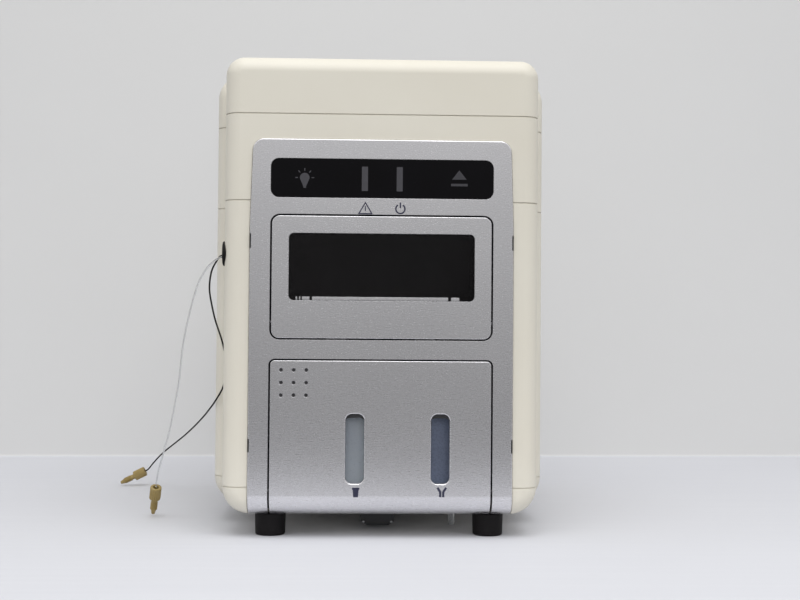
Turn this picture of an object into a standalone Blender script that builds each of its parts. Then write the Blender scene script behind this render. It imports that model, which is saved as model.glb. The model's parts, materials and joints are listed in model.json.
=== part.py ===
# Benchtop microplate autosampler, built piece by piece.
# Metres, +Z up, the front faces -Y, and the origin is under the middle of the footprint.
import math

import bmesh
import bpy
from mathutils import Matrix, Vector

# Shared clearances
touch_gap = 0.0003
slide_gap = 0.0004
seam_gap = 0.0009
door_gap = 0.0014
overrun = 0.01
weld_distance = 0.00001
flat_angle = math.radians(0.1)

# Overall body
body_depth = 0.400
body_top = 0.424
body_bottom = 0.020
shell_wall = 0.003
front_half_width = 0.139
front_top_radius = 0.0165
bottom_radius = 0.024
front_rim_radius = 0.0145
side_step = 0.0155
rear_top_radius = 0.030
rear_rim_radius = 0.0135
back_rim_radius = 0.003
step_depth = 0.086
module_step = 0.0002
cream_front_inset = 0.003
top_seam_height = 0.3722
middle_seam_height = 0.2957
bottom_seam_height = 0.0445

front_y = -body_depth / 2
back_y = body_depth / 2
cream_front_y = front_y + cream_front_inset
step_y = front_y + step_depth
rear_half_width = front_half_width + side_step

# Front fascia
fascia_border = 0.0233
fascia_taper = 0.0024
fascia_taper_start = 0.272
fascia_top = 0.348
fascia_top_radius = 0.010
fascia_thickness = 0.003
fascia_roll_radius = 0.018
fascia_lip = 0.002
fascia_edge_chamfer = 0.0012
lug_width = 0.010
lug_depth = 0.0055
lug_height = 0.011
pin_radius = 0.0015
pin_bore_gap = 0.00012
pin_grip = 0.007

fascia_back_y = front_y + fascia_thickness
fascia_half_width = front_half_width - fascia_border
fascia_top_half_width = fascia_half_width - fascia_taper

# Status strip
strip_inset = 0.0182
strip_bottom = 0.2985
strip_top = 0.332
strip_radius = 0.007
strip_thickness = 0.0016
strip_recess = 0.0005

strip_half_width = fascia_half_width - strip_inset

# Plate door
plate_door_inset = 0.0193
plate_door_bottom = 0.175
plate_door_top = 0.2822
plate_door_radius = 0.007
plate_door_thickness = 0.006
plate_hinge_inset = 0.003
plate_hinge_height = 0.189
window_border = 0.0149
window_bottom = 0.208
window_top = 0.267
window_radius = 0.0045
window_set_back = 0.0008
window_flange = 0.004
window_flange_thickness = 0.0014

plate_door_half_width = fascia_half_width - plate_door_inset
window_half_width = plate_door_half_width - window_border

# Bottle door
bottle_door_inset = 0.0189
bottle_door_top = 0.1555
bottle_door_radius = 0.004
bottle_hinge_inset = 0.0055
bottle_hinge_height = 0.0414
bottle_door_lug_depth = 0.0065
slot_half_width = 0.008
slot_bottom = 0.0485
slot_top = 0.109
slot_radius = 0.0056
slot_rim_chamfer = 0.0011
left_slot_x = -0.0225
right_slot_x = 0.0524
dimple_side_inset = 0.0205
dimple_z = 0.136
dimple_pitch = 0.011
dimple_radius = 0.0021
dimple_depth = 0.0014
dimple_rows = 3

bottle_door_half_width = fascia_half_width - bottle_door_inset

# Fascia clips
clip_width = 0.0013
clip_depth = 0.009
clip_hook = 0.0014
upper_clip_low = 0.252
upper_clip_high = 0.268
lower_clip_low = 0.0755
lower_clip_high = 0.087

# Feet
foot_radius = 0.0133
foot_top_radius = 0.0138
foot_side_inset = 0.0418
front_foot_inset = 0.030
rear_foot_inset = 0.046
foot_rim = 0.0016
foot_stud_radius = 0.003
foot_stud_length = 0.0075
foot_stud_gap = 0.0002

foot_x = front_half_width - foot_side_inset

# Chassis
frame_inset = 0.0037
frame_thickness = 0.003
frame_top = 0.346
frame_fold = 0.012
bulkhead_inset = 0.035
bulkhead_thickness = 0.0025
deck_top = 0.169
deck_thickness = 0.003
deck_front_inset = 0.014
pan_front_inset = 0.0255

frame_x = fascia_half_width - frame_inset

# Plate stage
nest_width = 0.136
nest_depth = 0.098
nest_bottom = 0.206
nest_top = 0.215
pocket_width = 0.1285
pocket_depth = 0.0862
pocket_floor = 0.2086
pocket_radius = 0.003
stage_front_inset = 0.116
tail_width = 0.100
tail_length = 0.142
tail_thickness = 0.0028
finger_width = 0.026
finger_depth = 0.012
rail_x = 0.040
rail_width = 0.010
rail_foot_width = 0.018
rail_foot_height = 0.006
rail_front_inset = 0.026
skirt_thickness = 0.0028
skirt_drop = 0.007
skirt_front_gap = 0.060
stage_motor_size = 0.028
stage_motor_length = 0.034
stage_motor_inset = 0.010
motor_shaft_length = 0.010

# Sampling head
probe_y = -0.033
park_inset = 0.028
probe_travel = 0.036
probe_low_tip = 0.212
probe_radius = 0.0008
probe_exposed = 0.040
probe_tip_length = 0.003
rod_radius = 0.004
rod_gap = 0.00015
upper_rod_z = 0.336
lower_rod_z = 0.312
rod_y = -0.006
rod_end_gap = 0.0003
carriage_width = 0.036
carriage_depth = 0.020
carriage_bottom = 0.302
carriage_top = 0.346
arm_width = 0.018
arm_depth = 0.012
arm_height = 0.058
lip_thickness = 0.0025
lip_depth = 0.008
head_motor_size = 0.035
head_motor_length = 0.024
head_motor_gap = 0.010
wash_cup_radius = 0.009
wash_cup_bore = 0.0045
wash_cup_top = 0.222
wash_cup_bore_depth = 0.026
wash_cup_foot = 0.014
wash_cup_foot_height = 0.004

park_x = frame_x - park_inset

# Bottle bay
tray_front_inset = 0.036
tray_depth = 0.092
tray_left_x = -0.062
tray_right_x = 0.092
tray_floor = 0.004
tray_rim_height = 0.012
bottle_half_width = 0.034
bottle_half_depth = 0.040
bottle_corner = 0.010
bottle_height = 0.086
bottle_shoulder = 0.012
neck_radius = 0.0145
neck_height = 0.016
cap_radius = 0.0185
cap_skirt_gap = 0.0008
cap_roof = 0.003
cap_grips = 18
cap_grip_depth = 0.0007
bottle_wall = 0.0018
pump_width = 0.040
pump_depth = 0.060
pump_height = 0.058
pump_head_radius = 0.0175
pump_head_length = 0.012
pump_port_radius = 0.003
pump_port_length = 0.010
magnet_half_width = 0.012
magnet_reach = 0.012
magnet_height = 0.016

# Rear services
rear_panel_recess = 0.004
rear_panel_thickness = 0.002
fan_size = 0.080
fan_depth = 0.016
fan_x = 0.055
fan_z = 0.330
fan_bore = 0.0375
fan_bore_sides = 40
fan_corner = 0.0035
strut_depth = 0.002
strut_count = 3
strut_angle = 30
hub_radius = 0.016
blade_tip_gap = 0.0012
blade_count = 7
blade_thickness = 0.0014
blade_root_pitch = 46
blade_tip_pitch = 24
blade_chord = 0.014
guard_wire = 0.0011
guard_ring_pitch = 0.011
guard_ring_count = 3
guard_sides = 4
guard_steps = 18
guard_bar = 0.0024
shaft_radius = 0.0025
inlet_x = -0.070
inlet_z = 0.095
inlet_width = 0.031
inlet_height = 0.050
inlet_depth = 0.026
inlet_bezel = 0.0022
inlet_mouth_width = 0.0235
inlet_mouth_height = 0.0165
inlet_mouth_depth = 0.016
switch_width = 0.013
switch_height = 0.019
switch_depth = 0.010
switch_well_gap = 0.0006
switch_pivot_inset = 0.0045
switch_tilt = 9
port_x = -0.020
port_z = 0.095
port_width = 0.013
port_height = 0.012
port_depth = 0.016
port_hole_width = 0.0085
port_hole_height = 0.0078
port_hole_depth = 0.010
vent_count = 9
vent_width = 0.003
vent_height = 0.040
vent_pitch = 0.008
vent_x = -0.055
vent_z = 0.330
supply_width = 0.084
supply_depth = 0.150
supply_height = 0.090
supply_x = 0.055
supply_gap = 0.010
board_height = 0.190
board_length = 0.200
board_thickness = 0.0016
board_standoff = 0.005
board_inset = 0.050

# Underside and side port
block_x = -0.0011
block_top_half = 0.0155
block_bottom_half = 0.0100
block_low = 0.0034
block_knee = 0.0066
block_depth = 0.024
block_front_inset = 0.060
spout_x = 0.0678
spout_radius = 0.0030
spout_bore = 0.0018
spout_low = 0.0025
spout_front_inset = 0.070
gland_inset = 0.0205
gland_half_width = 0.0105
gland_half_height = 0.0115
gland_z = 0.2455
gland_proud = 0.0018
gland_edge = 0.0009
gland_flange = 0.0010
gland_seat = 0.0045
gland_neck_half_width = 0.0045
gland_neck_half_height = 0.0085
gland_inside = 0.004

# Tubes of the side port, 1/16 inch
tube_radius = 0.0008
tube_step = 0.0092
tube_exit_run = 0.0035
nut_head_radius = 0.0054
nut_waist_radius = 0.0028
nut_head_length = 0.0135
nut_length = 0.031
nut_thread_radius = 0.0034
nut_cone_radius = 0.0013
nut_edge_radius = 0.0009
nut_sides = 20
route_steps = 24

# Shares of the sizes that they follow
thread_start_share = 0.56
thread_end_share = 0.86
blade_root_share = 0.80
rocker_root_share = 0.80
motor_edge_share = 0.10
arm_edge_share = 0.17
needle_grip_share = 0.33
needle_point_share = 0.33
needle_shoulder_share = 0.90
shoulder_round_share = 0.75
gland_round_share = 0.98
spacer_shares = (0.1, 0.9)

# Route of the black tube, from the side port to its nut on the bench
black_route = (
    (-0.1411, -0.1775, 0.2480), (-0.1442, -0.1774, 0.2466), (-0.1476, -0.1745, 0.2420),
    (-0.1517, -0.1680, 0.2355), (-0.1548, -0.1570, 0.2266), (-0.1562, -0.1470, 0.2170),
    (-0.1549, -0.1420, 0.2059),
    (-0.1513, -0.1410, 0.1902), (-0.1446, -0.1388, 0.1691), (-0.1414, -0.1350, 0.1480),
    (-0.1448, -0.1262, 0.1296), (-0.1537, -0.1120, 0.1148), (-0.1622, -0.0880, 0.1051),
    (-0.1711, -0.0550, 0.0964), (-0.1877, 0.0050, 0.0819), (-0.2053, 0.0620, 0.0676),
    (-0.2221, 0.1080, 0.0549), (-0.2370, 0.1380, 0.0436), (-0.2471, 0.1535, 0.0347),
    (-0.2560, 0.1640, 0.0252), (-0.2611, 0.1677, 0.0190), (-0.2643, 0.1683, 0.0171),
)
black_nut_tip = (-0.2953, 0.1682, 0.0018)

# Route of the clear tube, from the side port to its nut standing on the bench
clear_route = (
    (-0.1411, -0.1815, 0.2465), (-0.1442, -0.1815, 0.2454), (-0.1480, -0.1808, 0.2430),
    (-0.1547, -0.1760, 0.2373), (-0.1630, -0.1650, 0.2263), (-0.1678, -0.1560, 0.2164),
    (-0.1757, -0.1400, 0.1940),
    (-0.1838, -0.1180, 0.1668), (-0.1886, -0.1060, 0.1345), (-0.1932, -0.0980, 0.1120),
    (-0.1991, -0.0930, 0.0843), (-0.2024, -0.0920, 0.0726), (-0.2045, -0.0915, 0.0642),
    (-0.2076, -0.0900, 0.0535), (-0.2100, -0.0872, 0.0450), (-0.2119, -0.0828, 0.0372),
    (-0.2132, -0.0790, 0.0300),
)
clear_nut_tip = (-0.2182, -0.0646, 0.0018)


def clear_scene():
    for scene_object in list(bpy.data.objects):
        bpy.data.objects.remove(scene_object, do_unlink=True)


clear_scene()
part_collection = bpy.data.collections.new("autosampler")
cutter_collection = bpy.data.collections.new("autosampler_cutters")
bpy.context.scene.collection.children.link(part_collection)
bpy.context.scene.collection.children.link(cutter_collection)


def make_material(name, color, roughness, metallic=0.0, alpha=1.0):
    material = bpy.data.materials.new(name)
    material.use_nodes = True
    shader = material.node_tree.nodes["Principled BSDF"]
    shader.inputs["Base Color"].default_value = (*color, 1.0)
    shader.inputs["Roughness"].default_value = roughness
    shader.inputs["Metallic"].default_value = metallic
    shader.inputs["Alpha"].default_value = alpha
    return material


finishes = {
    "cream": make_material("cream_plastic", (0.69, 0.65, 0.53), 0.45),
    "silver": make_material("silver_paint", (0.33, 0.33, 0.335), 0.42, 0.35),
    "black": make_material("black_plastic", (0.012, 0.012, 0.013), 0.4),
    "gloss": make_material("black_gloss", (0.006, 0.006, 0.007), 0.08),
    "tint": make_material("tinted_window", (0.02, 0.018, 0.02), 0.06, 0.0, 0.45),
    "rubber": make_material("black_rubber", (0.012, 0.011, 0.012), 0.75),
    "steel": make_material("bright_steel", (0.55, 0.55, 0.56), 0.3, 1.0),
    "sheet": make_material("black_sheet", (0.03, 0.03, 0.032), 0.55, 0.2),
    "alloy": make_material("machined_alloy", (0.62, 0.63, 0.64), 0.35, 1.0),
    "bottle": make_material("milky_bottle", (0.5, 0.53, 0.58), 0.35, 0.0, 0.7),
    "wash": make_material("blue_bottle", (0.10, 0.12, 0.17), 0.35, 0.0, 0.8),
    "tan": make_material("tan_polymer", (0.30, 0.24, 0.12), 0.4),
    "clear": make_material("clear_tube", (0.75, 0.76, 0.78), 0.2, 0.0, 0.6),
    "board": make_material("green_board", (0.01, 0.12, 0.05), 0.4),
}


def add_mesh(name, mesh, finish=None):
    new_object = bpy.data.objects.new(name, mesh)
    if finish is None:
        cutter_collection.objects.link(new_object)
        new_object.hide_render = True
        new_object.display_type = "WIRE"
        return new_object
    part_collection.objects.link(new_object)
    mesh.materials.clear()
    mesh.materials.append(finishes[finish])
    return new_object


def mesh_from(work, name):
    mesh = bpy.data.meshes.new(name)
    bmesh.ops.recalc_face_normals(work, faces=work.faces)
    work.to_mesh(mesh)
    work.free()
    return mesh


# A block between two opposite corners
def block(name, low, high, finish=None):
    low, high = Vector(low), Vector(high)
    work = bmesh.new()
    size = Matrix.Diagonal((*(high - low), 1))
    bmesh.ops.create_cube(work, size=1, matrix=Matrix.Translation((low + high) / 2) @ size)
    return add_mesh(name, mesh_from(work, name), finish)


# A round bar or cone along an axis, from a base point
def bar(name, base, axis, length, radius, end_radius=None, sides=24, finish=None):
    work = bmesh.new()
    turn = Vector(axis).to_track_quat("Z", "Y").to_matrix().to_4x4()
    middle = Matrix.Translation((0, 0, length / 2))
    bmesh.ops.create_cone(work, cap_ends=True, segments=sides, radius1=radius,
                          radius2=radius if end_radius is None else end_radius,
                          depth=length, matrix=Matrix.Translation(base) @ turn @ middle)
    return add_mesh(name, mesh_from(work, name), finish)


# Corner points of an outline, each corner rounded by its own radius
def rounded(corners, steps=5):
    points = []
    count = len(corners)
    for index, (x, z, radius) in enumerate(corners):
        corner = Vector((x, z))
        before = Vector(corners[index - 1][:2]) - corner
        after = Vector(corners[(index + 1) % count][:2]) - corner
        if radius <= 0:
            points.append(corner)
            continue
        before.normalize()
        after.normalize()
        half = before.angle(after) / 2
        reach = radius / math.tan(half)
        centre = corner + (before + after).normalized() * (radius / math.sin(half))
        start = corner + before * reach - centre
        sweep = start.angle_signed(corner + after * reach - centre)
        for step in range(steps + 1):
            turned = start.copy()
            turned.rotate(Matrix.Rotation(-sweep * step / steps, 2))
            points.append(centre + turned)
    return points


def rectangle(x_low, x_high, z_low, z_high, radius, steps=5):
    return rounded([(x_low, z_low, radius), (x_high, z_low, radius),
                    (x_high, z_high, radius), (x_low, z_high, radius)], steps)


# A flat outline drawn in a plane and given a thickness along the third axis
def prism(name, points, low, high, axis="Y", finish=None):
    curve = bpy.data.curves.new(name + "_outline", "CURVE")
    curve.dimensions = "2D"
    curve.fill_mode = "BOTH"
    curve.extrude = (high - low) / 2
    spline = curve.splines.new("POLY")
    spline.points.add(len(points) - 1)
    for target, point in zip(spline.points, points):
        target.co = (point[0], point[1], 0, 1)
    spline.use_cyclic_u = True
    outline = bpy.data.objects.new(name + "_outline", curve)
    cutter_collection.objects.link(outline)
    middle = (low + high) / 2
    places = {
        "X": Matrix(((0, 0, 1, middle), (1, 0, 0, 0), (0, 1, 0, 0), (0, 0, 0, 1))),
        "Y": Matrix(((1, 0, 0, 0), (0, 0, -1, middle), (0, 1, 0, 0), (0, 0, 0, 1))),
        "Z": Matrix.Translation((0, 0, middle)),
    }
    outline.matrix_world = places[axis]
    bpy.context.view_layer.update()
    flat = bpy.data.meshes.new_from_object(outline.evaluated_get(bpy.context.evaluated_depsgraph_get()))
    flat.transform(places[axis])
    bpy.data.objects.remove(outline, do_unlink=True)
    work = bmesh.new()
    work.from_mesh(flat)
    bmesh.ops.remove_doubles(work, verts=work.verts, dist=weld_distance)
    bmesh.ops.dissolve_limit(work, angle_limit=flat_angle, verts=work.verts, edges=work.edges)
    return add_mesh(name, mesh_from(work, name), finish)


# Rounds the edges that a test picks
def round_edges(target, radius, test, segments=4):
    work = bmesh.new()
    work.from_mesh(target.data)
    picked = [edge for edge in work.edges if test(edge.verts[0].co, edge.verts[1].co)]
    bmesh.ops.bevel(work, geom=picked, offset=radius, offset_type="OFFSET", segments=segments,
                    profile=0.5, affect="EDGES", clamp_overlap=False)
    bmesh.ops.remove_doubles(work, verts=work.verts, dist=weld_distance)
    work.to_mesh(target.data)
    work.free()
    return target


def at_y(level):
    return lambda one, two: abs(one.y - level) < weld_distance and abs(two.y - level) < weld_distance


def at_z(level):
    return lambda one, two: abs(one.z - level) < weld_distance and abs(two.z - level) < weld_distance


# Booleans stay as modifiers until a piece is used by another one
def combine(target, tool, operation="DIFFERENCE"):
    modifier = target.modifiers.new(operation.lower() + "_" + tool.name, "BOOLEAN")
    modifier.operation = operation
    modifier.solver = "EXACT"
    modifier.object = tool
    return target


def applied_copy(source, name, finish=None):
    bpy.context.view_layer.update()
    depsgraph = bpy.context.evaluated_depsgraph_get()
    work = bmesh.new()
    work.from_mesh(source.evaluated_get(depsgraph).data)
    bmesh.ops.transform(work, matrix=source.matrix_world, verts=work.verts)
    bmesh.ops.remove_doubles(work, verts=work.verts, dist=weld_distance)
    bmesh.ops.dissolve_limit(work, angle_limit=flat_angle, verts=work.verts, edges=work.edges)
    mesh = bpy.data.meshes.new(name)
    work.to_mesh(mesh)
    work.free()
    return add_mesh(name, mesh, finish)


def hole(name, base, axis, length, radius, sides=24):
    return bar(name, base, axis, length, radius, None, sides)


# A moving piece gets its origin on its joint
def set_origin(target, point):
    target.data.transform(Matrix.Translation(-Vector(point)))
    target.location = point


def smooth(target, angle=35):
    target.data.shade_smooth()
    target.data.set_sharp_from_angle(angle=math.radians(angle))


# Housing: a narrow front module that steps out to a wider rear module
def module_form(name, half_width, top_radius, rim_radius, front, back, inset, lower=0):
    half = half_width - inset
    low = body_bottom + inset + lower
    high = body_top - inset - lower
    outline = rounded([(-half, low, bottom_radius - inset), (half, low, bottom_radius - inset),
                       (half, high, top_radius - inset), (-half, high, top_radius - inset)], 5)
    form = prism(name, outline, front, back)
    return round_edges(form, rim_radius - inset, at_y(front), 4)


outer_form = module_form("outer_front_form", front_half_width, front_top_radius, front_rim_radius,
                         cream_front_y, step_y + rear_half_width, 0, module_step)
rear_form = module_form("outer_rear_form", rear_half_width, rear_top_radius, rear_rim_radius,
                        step_y, back_y, 0)
round_edges(rear_form, back_rim_radius, at_y(back_y), 2)
combine(outer_form, rear_form, "UNION")
inner_form = module_form("inner_front_form", front_half_width, front_top_radius, front_rim_radius,
                         cream_front_y + shell_wall, step_y + rear_half_width, shell_wall, module_step)
inner_rear_form = module_form("inner_rear_form", rear_half_width, rear_top_radius, rear_rim_radius,
                              step_y + shell_wall, back_y + overrun, shell_wall)
combine(outer_form, inner_form)
combine(outer_form, inner_rear_form)
shell_solid = applied_copy(outer_form, "shell_solid")

# Front outline and side profile shared by the fascia, its doors and its opening in the covers
wide = rear_half_width + overrun
door_opening = plate_door_half_width + door_gap
bottle_opening = bottle_door_half_width + door_gap
roll_end_y = front_y + fascia_roll_radius + fascia_lip


def fascia_outline(grow):
    return rounded([(-fascia_half_width - grow, body_bottom - overrun, 0),
                    (fascia_half_width + grow, body_bottom - overrun, 0),
                    (fascia_half_width + grow, fascia_taper_start, 0),
                    (fascia_top_half_width + grow, fascia_top + grow, fascia_top_radius + grow),
                    (-fascia_top_half_width - grow, fascia_top + grow, fascia_top_radius + grow),
                    (-fascia_half_width - grow, fascia_taper_start, 0)])


def bent_sheet(name):
    profile = rounded([(front_y, fascia_top + overrun, 0), (front_y, body_bottom, fascia_roll_radius),
                       (roll_end_y, body_bottom, 0), (roll_end_y, body_bottom + fascia_thickness, 0),
                       (fascia_back_y, body_bottom + fascia_thickness,
                        fascia_roll_radius - fascia_thickness),
                       (fascia_back_y, fascia_top + overrun, 0)], 6)
    return prism(name, profile, -wide, wide, "X")


fascia_opening = prism("fascia_opening", fascia_outline(slide_gap), front_y - overrun,
                       cream_front_y + front_rim_radius)
cut_low = body_bottom - overrun
roll_half = fascia_half_width + slide_gap
roll_opening = block("roll_opening", (-roll_half, front_y - overrun, cut_low),
                     (roll_half, roll_end_y + slide_gap, bottom_seam_height))
lip_opening = block("lip_opening", (-bottle_opening, front_y - overrun, cut_low),
                    (bottle_opening, front_y + pan_front_inset, bottom_seam_height))


def shell_slice(name, low, high, x_low=-wide, x_high=wide):
    piece = applied_copy(shell_solid, name, "cream")
    band = block(name + "_band", (x_low, front_y - overrun, low), (x_high, back_y + overrun, high))
    combine(piece, band, "INTERSECT")
    return piece


top_cover = shell_slice("top_cover", top_seam_height + seam_gap / 2, body_top + overrun)
upper_shell = shell_slice("upper_shell", middle_seam_height + seam_gap / 2,
                          top_seam_height - seam_gap / 2)
combine(upper_shell, fascia_opening)
side_panels = []
for side, name in ((-1, "left_side_panel"), (1, "right_side_panel")):
    panel = shell_slice(name, bottom_seam_height + seam_gap / 2, middle_seam_height - seam_gap / 2,
                        min(0, side * wide), max(0, side * wide))
    combine(panel, fascia_opening)
    side_panels.append(panel)
base_pan = shell_slice("base_pan", body_bottom - overrun, bottom_seam_height - seam_gap / 2)
combine(base_pan, roll_opening)
combine(base_pan, lip_opening)

# Silver fascia with its two door openings
front_fascia = prism("front_fascia", fascia_outline(0), front_y, roll_end_y + overrun, "Y", "silver")
round_edges(front_fascia, fascia_edge_chamfer, at_y(front_y), 2)
combine(front_fascia, bent_sheet("fascia_sheet"), "INTERSECT")
combine(front_fascia, prism("plate_door_opening", rectangle(
    -door_opening, door_opening, plate_door_bottom - door_gap, plate_door_top + door_gap,
    plate_door_radius + door_gap), front_y - overrun, fascia_back_y + overrun))
combine(front_fascia, prism("bottle_door_opening", rectangle(
    -bottle_opening, bottle_opening, body_bottom - overrun, bottle_door_top + door_gap,
    bottle_door_radius + door_gap), front_y - overrun, roll_end_y + overrun))
combine(front_fascia, prism("strip_pocket", rectangle(
    -strip_half_width - touch_gap, strip_half_width + touch_gap, strip_bottom - touch_gap,
    strip_top + touch_gap, strip_radius + touch_gap), front_y - overrun,
    front_y + strip_recess + strip_thickness + touch_gap))
status_window = prism("status_window", rectangle(
    -strip_half_width, strip_half_width, strip_bottom, strip_top, strip_radius),
    front_y + strip_recess, front_y + strip_recess + strip_thickness, "Y", "gloss")

# Plate door: a plain panel with a tinted window, turning on two short pins
plate_axis_y = front_y + plate_hinge_inset
plate_door_back = front_y + plate_door_thickness
plate_door = prism("plate_door", rectangle(-plate_door_half_width, plate_door_half_width,
                                           plate_door_bottom, plate_door_top, plate_door_radius),
                   front_y, plate_door_back, "Y", "silver")
round_edges(plate_door, fascia_edge_chamfer / 2, at_y(front_y), 2)
combine(plate_door, prism("window_opening", rectangle(
    -window_half_width, window_half_width, window_bottom, window_top, window_radius),
    front_y - overrun, plate_door_back + overrun))
plate_door_window = prism("plate_door_window", rectangle(
    -window_half_width + touch_gap, window_half_width - touch_gap, window_bottom + touch_gap,
    window_top - touch_gap, window_radius - touch_gap), front_y + window_set_back,
    plate_door_back + touch_gap + window_flange_thickness, "Y", "tint")
combine(plate_door_window, prism("window_flange", rectangle(
    -window_half_width - window_flange, window_half_width + window_flange,
    window_bottom - window_flange, window_top + window_flange, window_radius + window_flange),
    plate_door_back + touch_gap, plate_door_back + touch_gap + window_flange_thickness), "UNION")

# Bottle door: the lower panel that wraps under the body
bottle_axis_y = front_y + bottle_hinge_inset


# A through slot whose front rim flares out by the chamfer
def flared_slot(name, points, centre):
    cutter = prism(name, points, front_y + slot_rim_chamfer, fascia_back_y + overrun)
    work = bmesh.new()
    work.from_mesh(cutter.data)
    front_face = min(work.faces, key=lambda face: face.calc_center_median().y)
    grown = bmesh.ops.extrude_discrete_faces(work, faces=[front_face])["faces"][0]
    reach = slot_rim_chamfer + overrun
    half_height = (slot_top - slot_bottom) / 2
    middle = Vector((centre, front_y - overrun, (slot_top + slot_bottom) / 2))
    for vertex in grown.verts:
        vertex.co.x = middle.x + (vertex.co.x - middle.x) * (1 + reach / slot_half_width)
        vertex.co.z = middle.z + (vertex.co.z - middle.z) * (1 + reach / half_height)
        vertex.co.y = middle.y
    work.to_mesh(cutter.data)
    work.free()
    return cutter


bottle_door = prism("bottle_door", rectangle(-bottle_door_half_width, bottle_door_half_width,
                                             body_bottom - overrun, bottle_door_top,
                                             bottle_door_radius),
                    front_y, roll_end_y + overrun, "Y", "silver")
round_edges(bottle_door, fascia_edge_chamfer / 2, at_y(front_y), 2)
combine(bottle_door, bent_sheet("bottle_door_sheet"), "INTERSECT")
for side, centre in (("left", left_slot_x), ("right", right_slot_x)):
    slot = rectangle(centre - slot_half_width, centre + slot_half_width, slot_bottom, slot_top,
                     slot_radius)
    combine(bottle_door, flared_slot(side + "_slot", slot, centre))
for row in range(dimple_rows):
    for column in range(dimple_rows):
        dimple_place = (dimple_side_inset - bottle_door_half_width + (column - 1) * dimple_pitch,
                        front_y - overrun,
                        dimple_z + (row - 1) * dimple_pitch)
        combine(bottle_door, hole(f"dimple_{row}_{column}", dimple_place, (0, 1, 0),
                                  overrun + dimple_depth, dimple_radius, 10))

# Hinge lugs and pins of both doors
bottle_lug_back = fascia_back_y + bottle_door_lug_depth


def lug(name, inner, outer, axis_z, back):
    low = (min(inner, outer), fascia_back_y - fascia_thickness / 2, axis_z - lug_height / 2)
    high = (max(inner, outer), back, axis_z + lug_height / 2)
    return block(name, low, high)


def hinge(prefix, door, door_half, axis_y, axis_z, lug_back, door_lug):
    for side, word in ((-1, "left"), (1, "right")):
        edge = side * door_half
        opening = side * (door_half + door_gap)
        fascia_lug = lug(f"{prefix}_{word}_fascia_lug", opening + side * door_gap / 2,
                         opening + side * lug_width, axis_z, lug_back)
        combine(front_fascia, fascia_lug, "UNION")
        if door_lug:
            combine(door, lug(f"{prefix}_{word}_door_lug", edge - side * door_gap / 2,
                              edge - side * lug_width, axis_z, lug_back), "UNION")
        start = edge - side * pin_grip
        reach = 2 * pin_grip + door_gap
        bore_start = start - side * touch_gap
        bore = hole(f"{prefix}_{word}_bore", (bore_start, axis_y, axis_z), (side, 0, 0),
                    reach + 2 * touch_gap, pin_radius + pin_bore_gap, 16)
        combine(door, bore)
        combine(front_fascia, bore)
        pin = bar(f"{prefix}_pin_{word}", (start, axis_y, axis_z), (side, 0, 0), reach,
                  pin_radius, None, 16, "steel")
        smooth(pin)


hinge("plate_door", plate_door, plate_door_half_width, plate_axis_y, plate_hinge_height,
      fascia_back_y + lug_depth, False)
hinge("bottle_door", bottle_door, bottle_door_half_width, bottle_axis_y, bottle_hinge_height,
      bottle_lug_back, True)

# Dark clips in notches of the fascia's side edges
for side, word in ((-1, "left"), (1, "right")):
    for level, low, high in (("upper", upper_clip_low, upper_clip_high),
                             ("lower", lower_clip_low, lower_clip_high)):
        outer = side * fascia_half_width
        notch_x = sorted((outer - side * clip_width, outer + side * overrun))
        combine(front_fascia, block(f"{level}_{word}_notch",
                                    (notch_x[0], front_y - overrun, low - touch_gap),
                                    (notch_x[1], fascia_back_y + overrun, high + touch_gap)))
        clip_x = sorted((outer - side * (clip_width - touch_gap), outer - side * touch_gap / 2))
        clip = block(f"fascia_clip_{level}_{word}", (clip_x[0], front_y + touch_gap, low),
                     (clip_x[1], front_y + clip_depth, high), "black")
        hook_x = sorted((outer - side * (clip_width + clip_hook), outer - side * clip_width / 2))
        combine(clip, block(f"{level}_{word}_hook", (hook_x[0], fascia_back_y + touch_gap, low),
                            (hook_x[1], fascia_back_y + touch_gap + clip_hook, high)), "UNION")

# Rubber feet, each with a stud in the base pan
for side, word in ((-1, "left"), (1, "right")):
    for end, place_y in (("front", front_y + front_foot_inset), ("rear", back_y - rear_foot_inset)):
        place = Vector((side * foot_x, place_y, 0))
        foot = bar(f"foot_{end}_{word}", place, (0, 0, 1), body_bottom - touch_gap,
                   foot_radius, foot_top_radius, 20, "rubber")
        round_edges(foot, foot_rim, at_z(0), 2)
        stud_base = place + Vector((0, 0, body_bottom - foot_rim))
        combine(foot, bar(f"{end}_{word}_stud", stud_base, (0, 0, 1), foot_stud_length,
                          foot_stud_radius, None, 16), "UNION")
        combine(base_pan, hole(f"{end}_{word}_stud_hole", stud_base, (0, 0, 1), overrun,
                               foot_stud_radius + foot_stud_gap, 16))
        smooth(foot)

# Chassis: two side frames, a rear bulkhead and the deck between plate chamber and bottle bay
pan_floor = body_bottom + shell_wall
frame_low = pan_floor + touch_gap
frame_front = fascia_back_y + touch_gap
bulkhead_front = back_y - bulkhead_inset
frame_profile = rounded([(frame_front, frame_low, fascia_roll_radius - fascia_thickness),
                         (bulkhead_front - touch_gap, frame_low, 0),
                         (bulkhead_front - touch_gap, frame_top, frame_fold),
                         (frame_front, frame_top, frame_fold)])
frame_inner = frame_x - frame_thickness
prism("left_frame", frame_profile, -frame_x, -frame_inner, "X", "sheet")
prism("right_frame", frame_profile, frame_inner, frame_x, "X", "sheet")
bulkhead = block("rear_bulkhead", (-frame_x, bulkhead_front, frame_low),
                 (frame_x, bulkhead_front + bulkhead_thickness, frame_top), "sheet")
deck_half = frame_inner - touch_gap
deck_front = front_y + deck_front_inset
deck_plate = block("deck_plate", (-deck_half, deck_front, deck_top - deck_thickness),
                   (deck_half, bulkhead_front - touch_gap, deck_top), "sheet")
on_deck = deck_top + touch_gap

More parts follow.
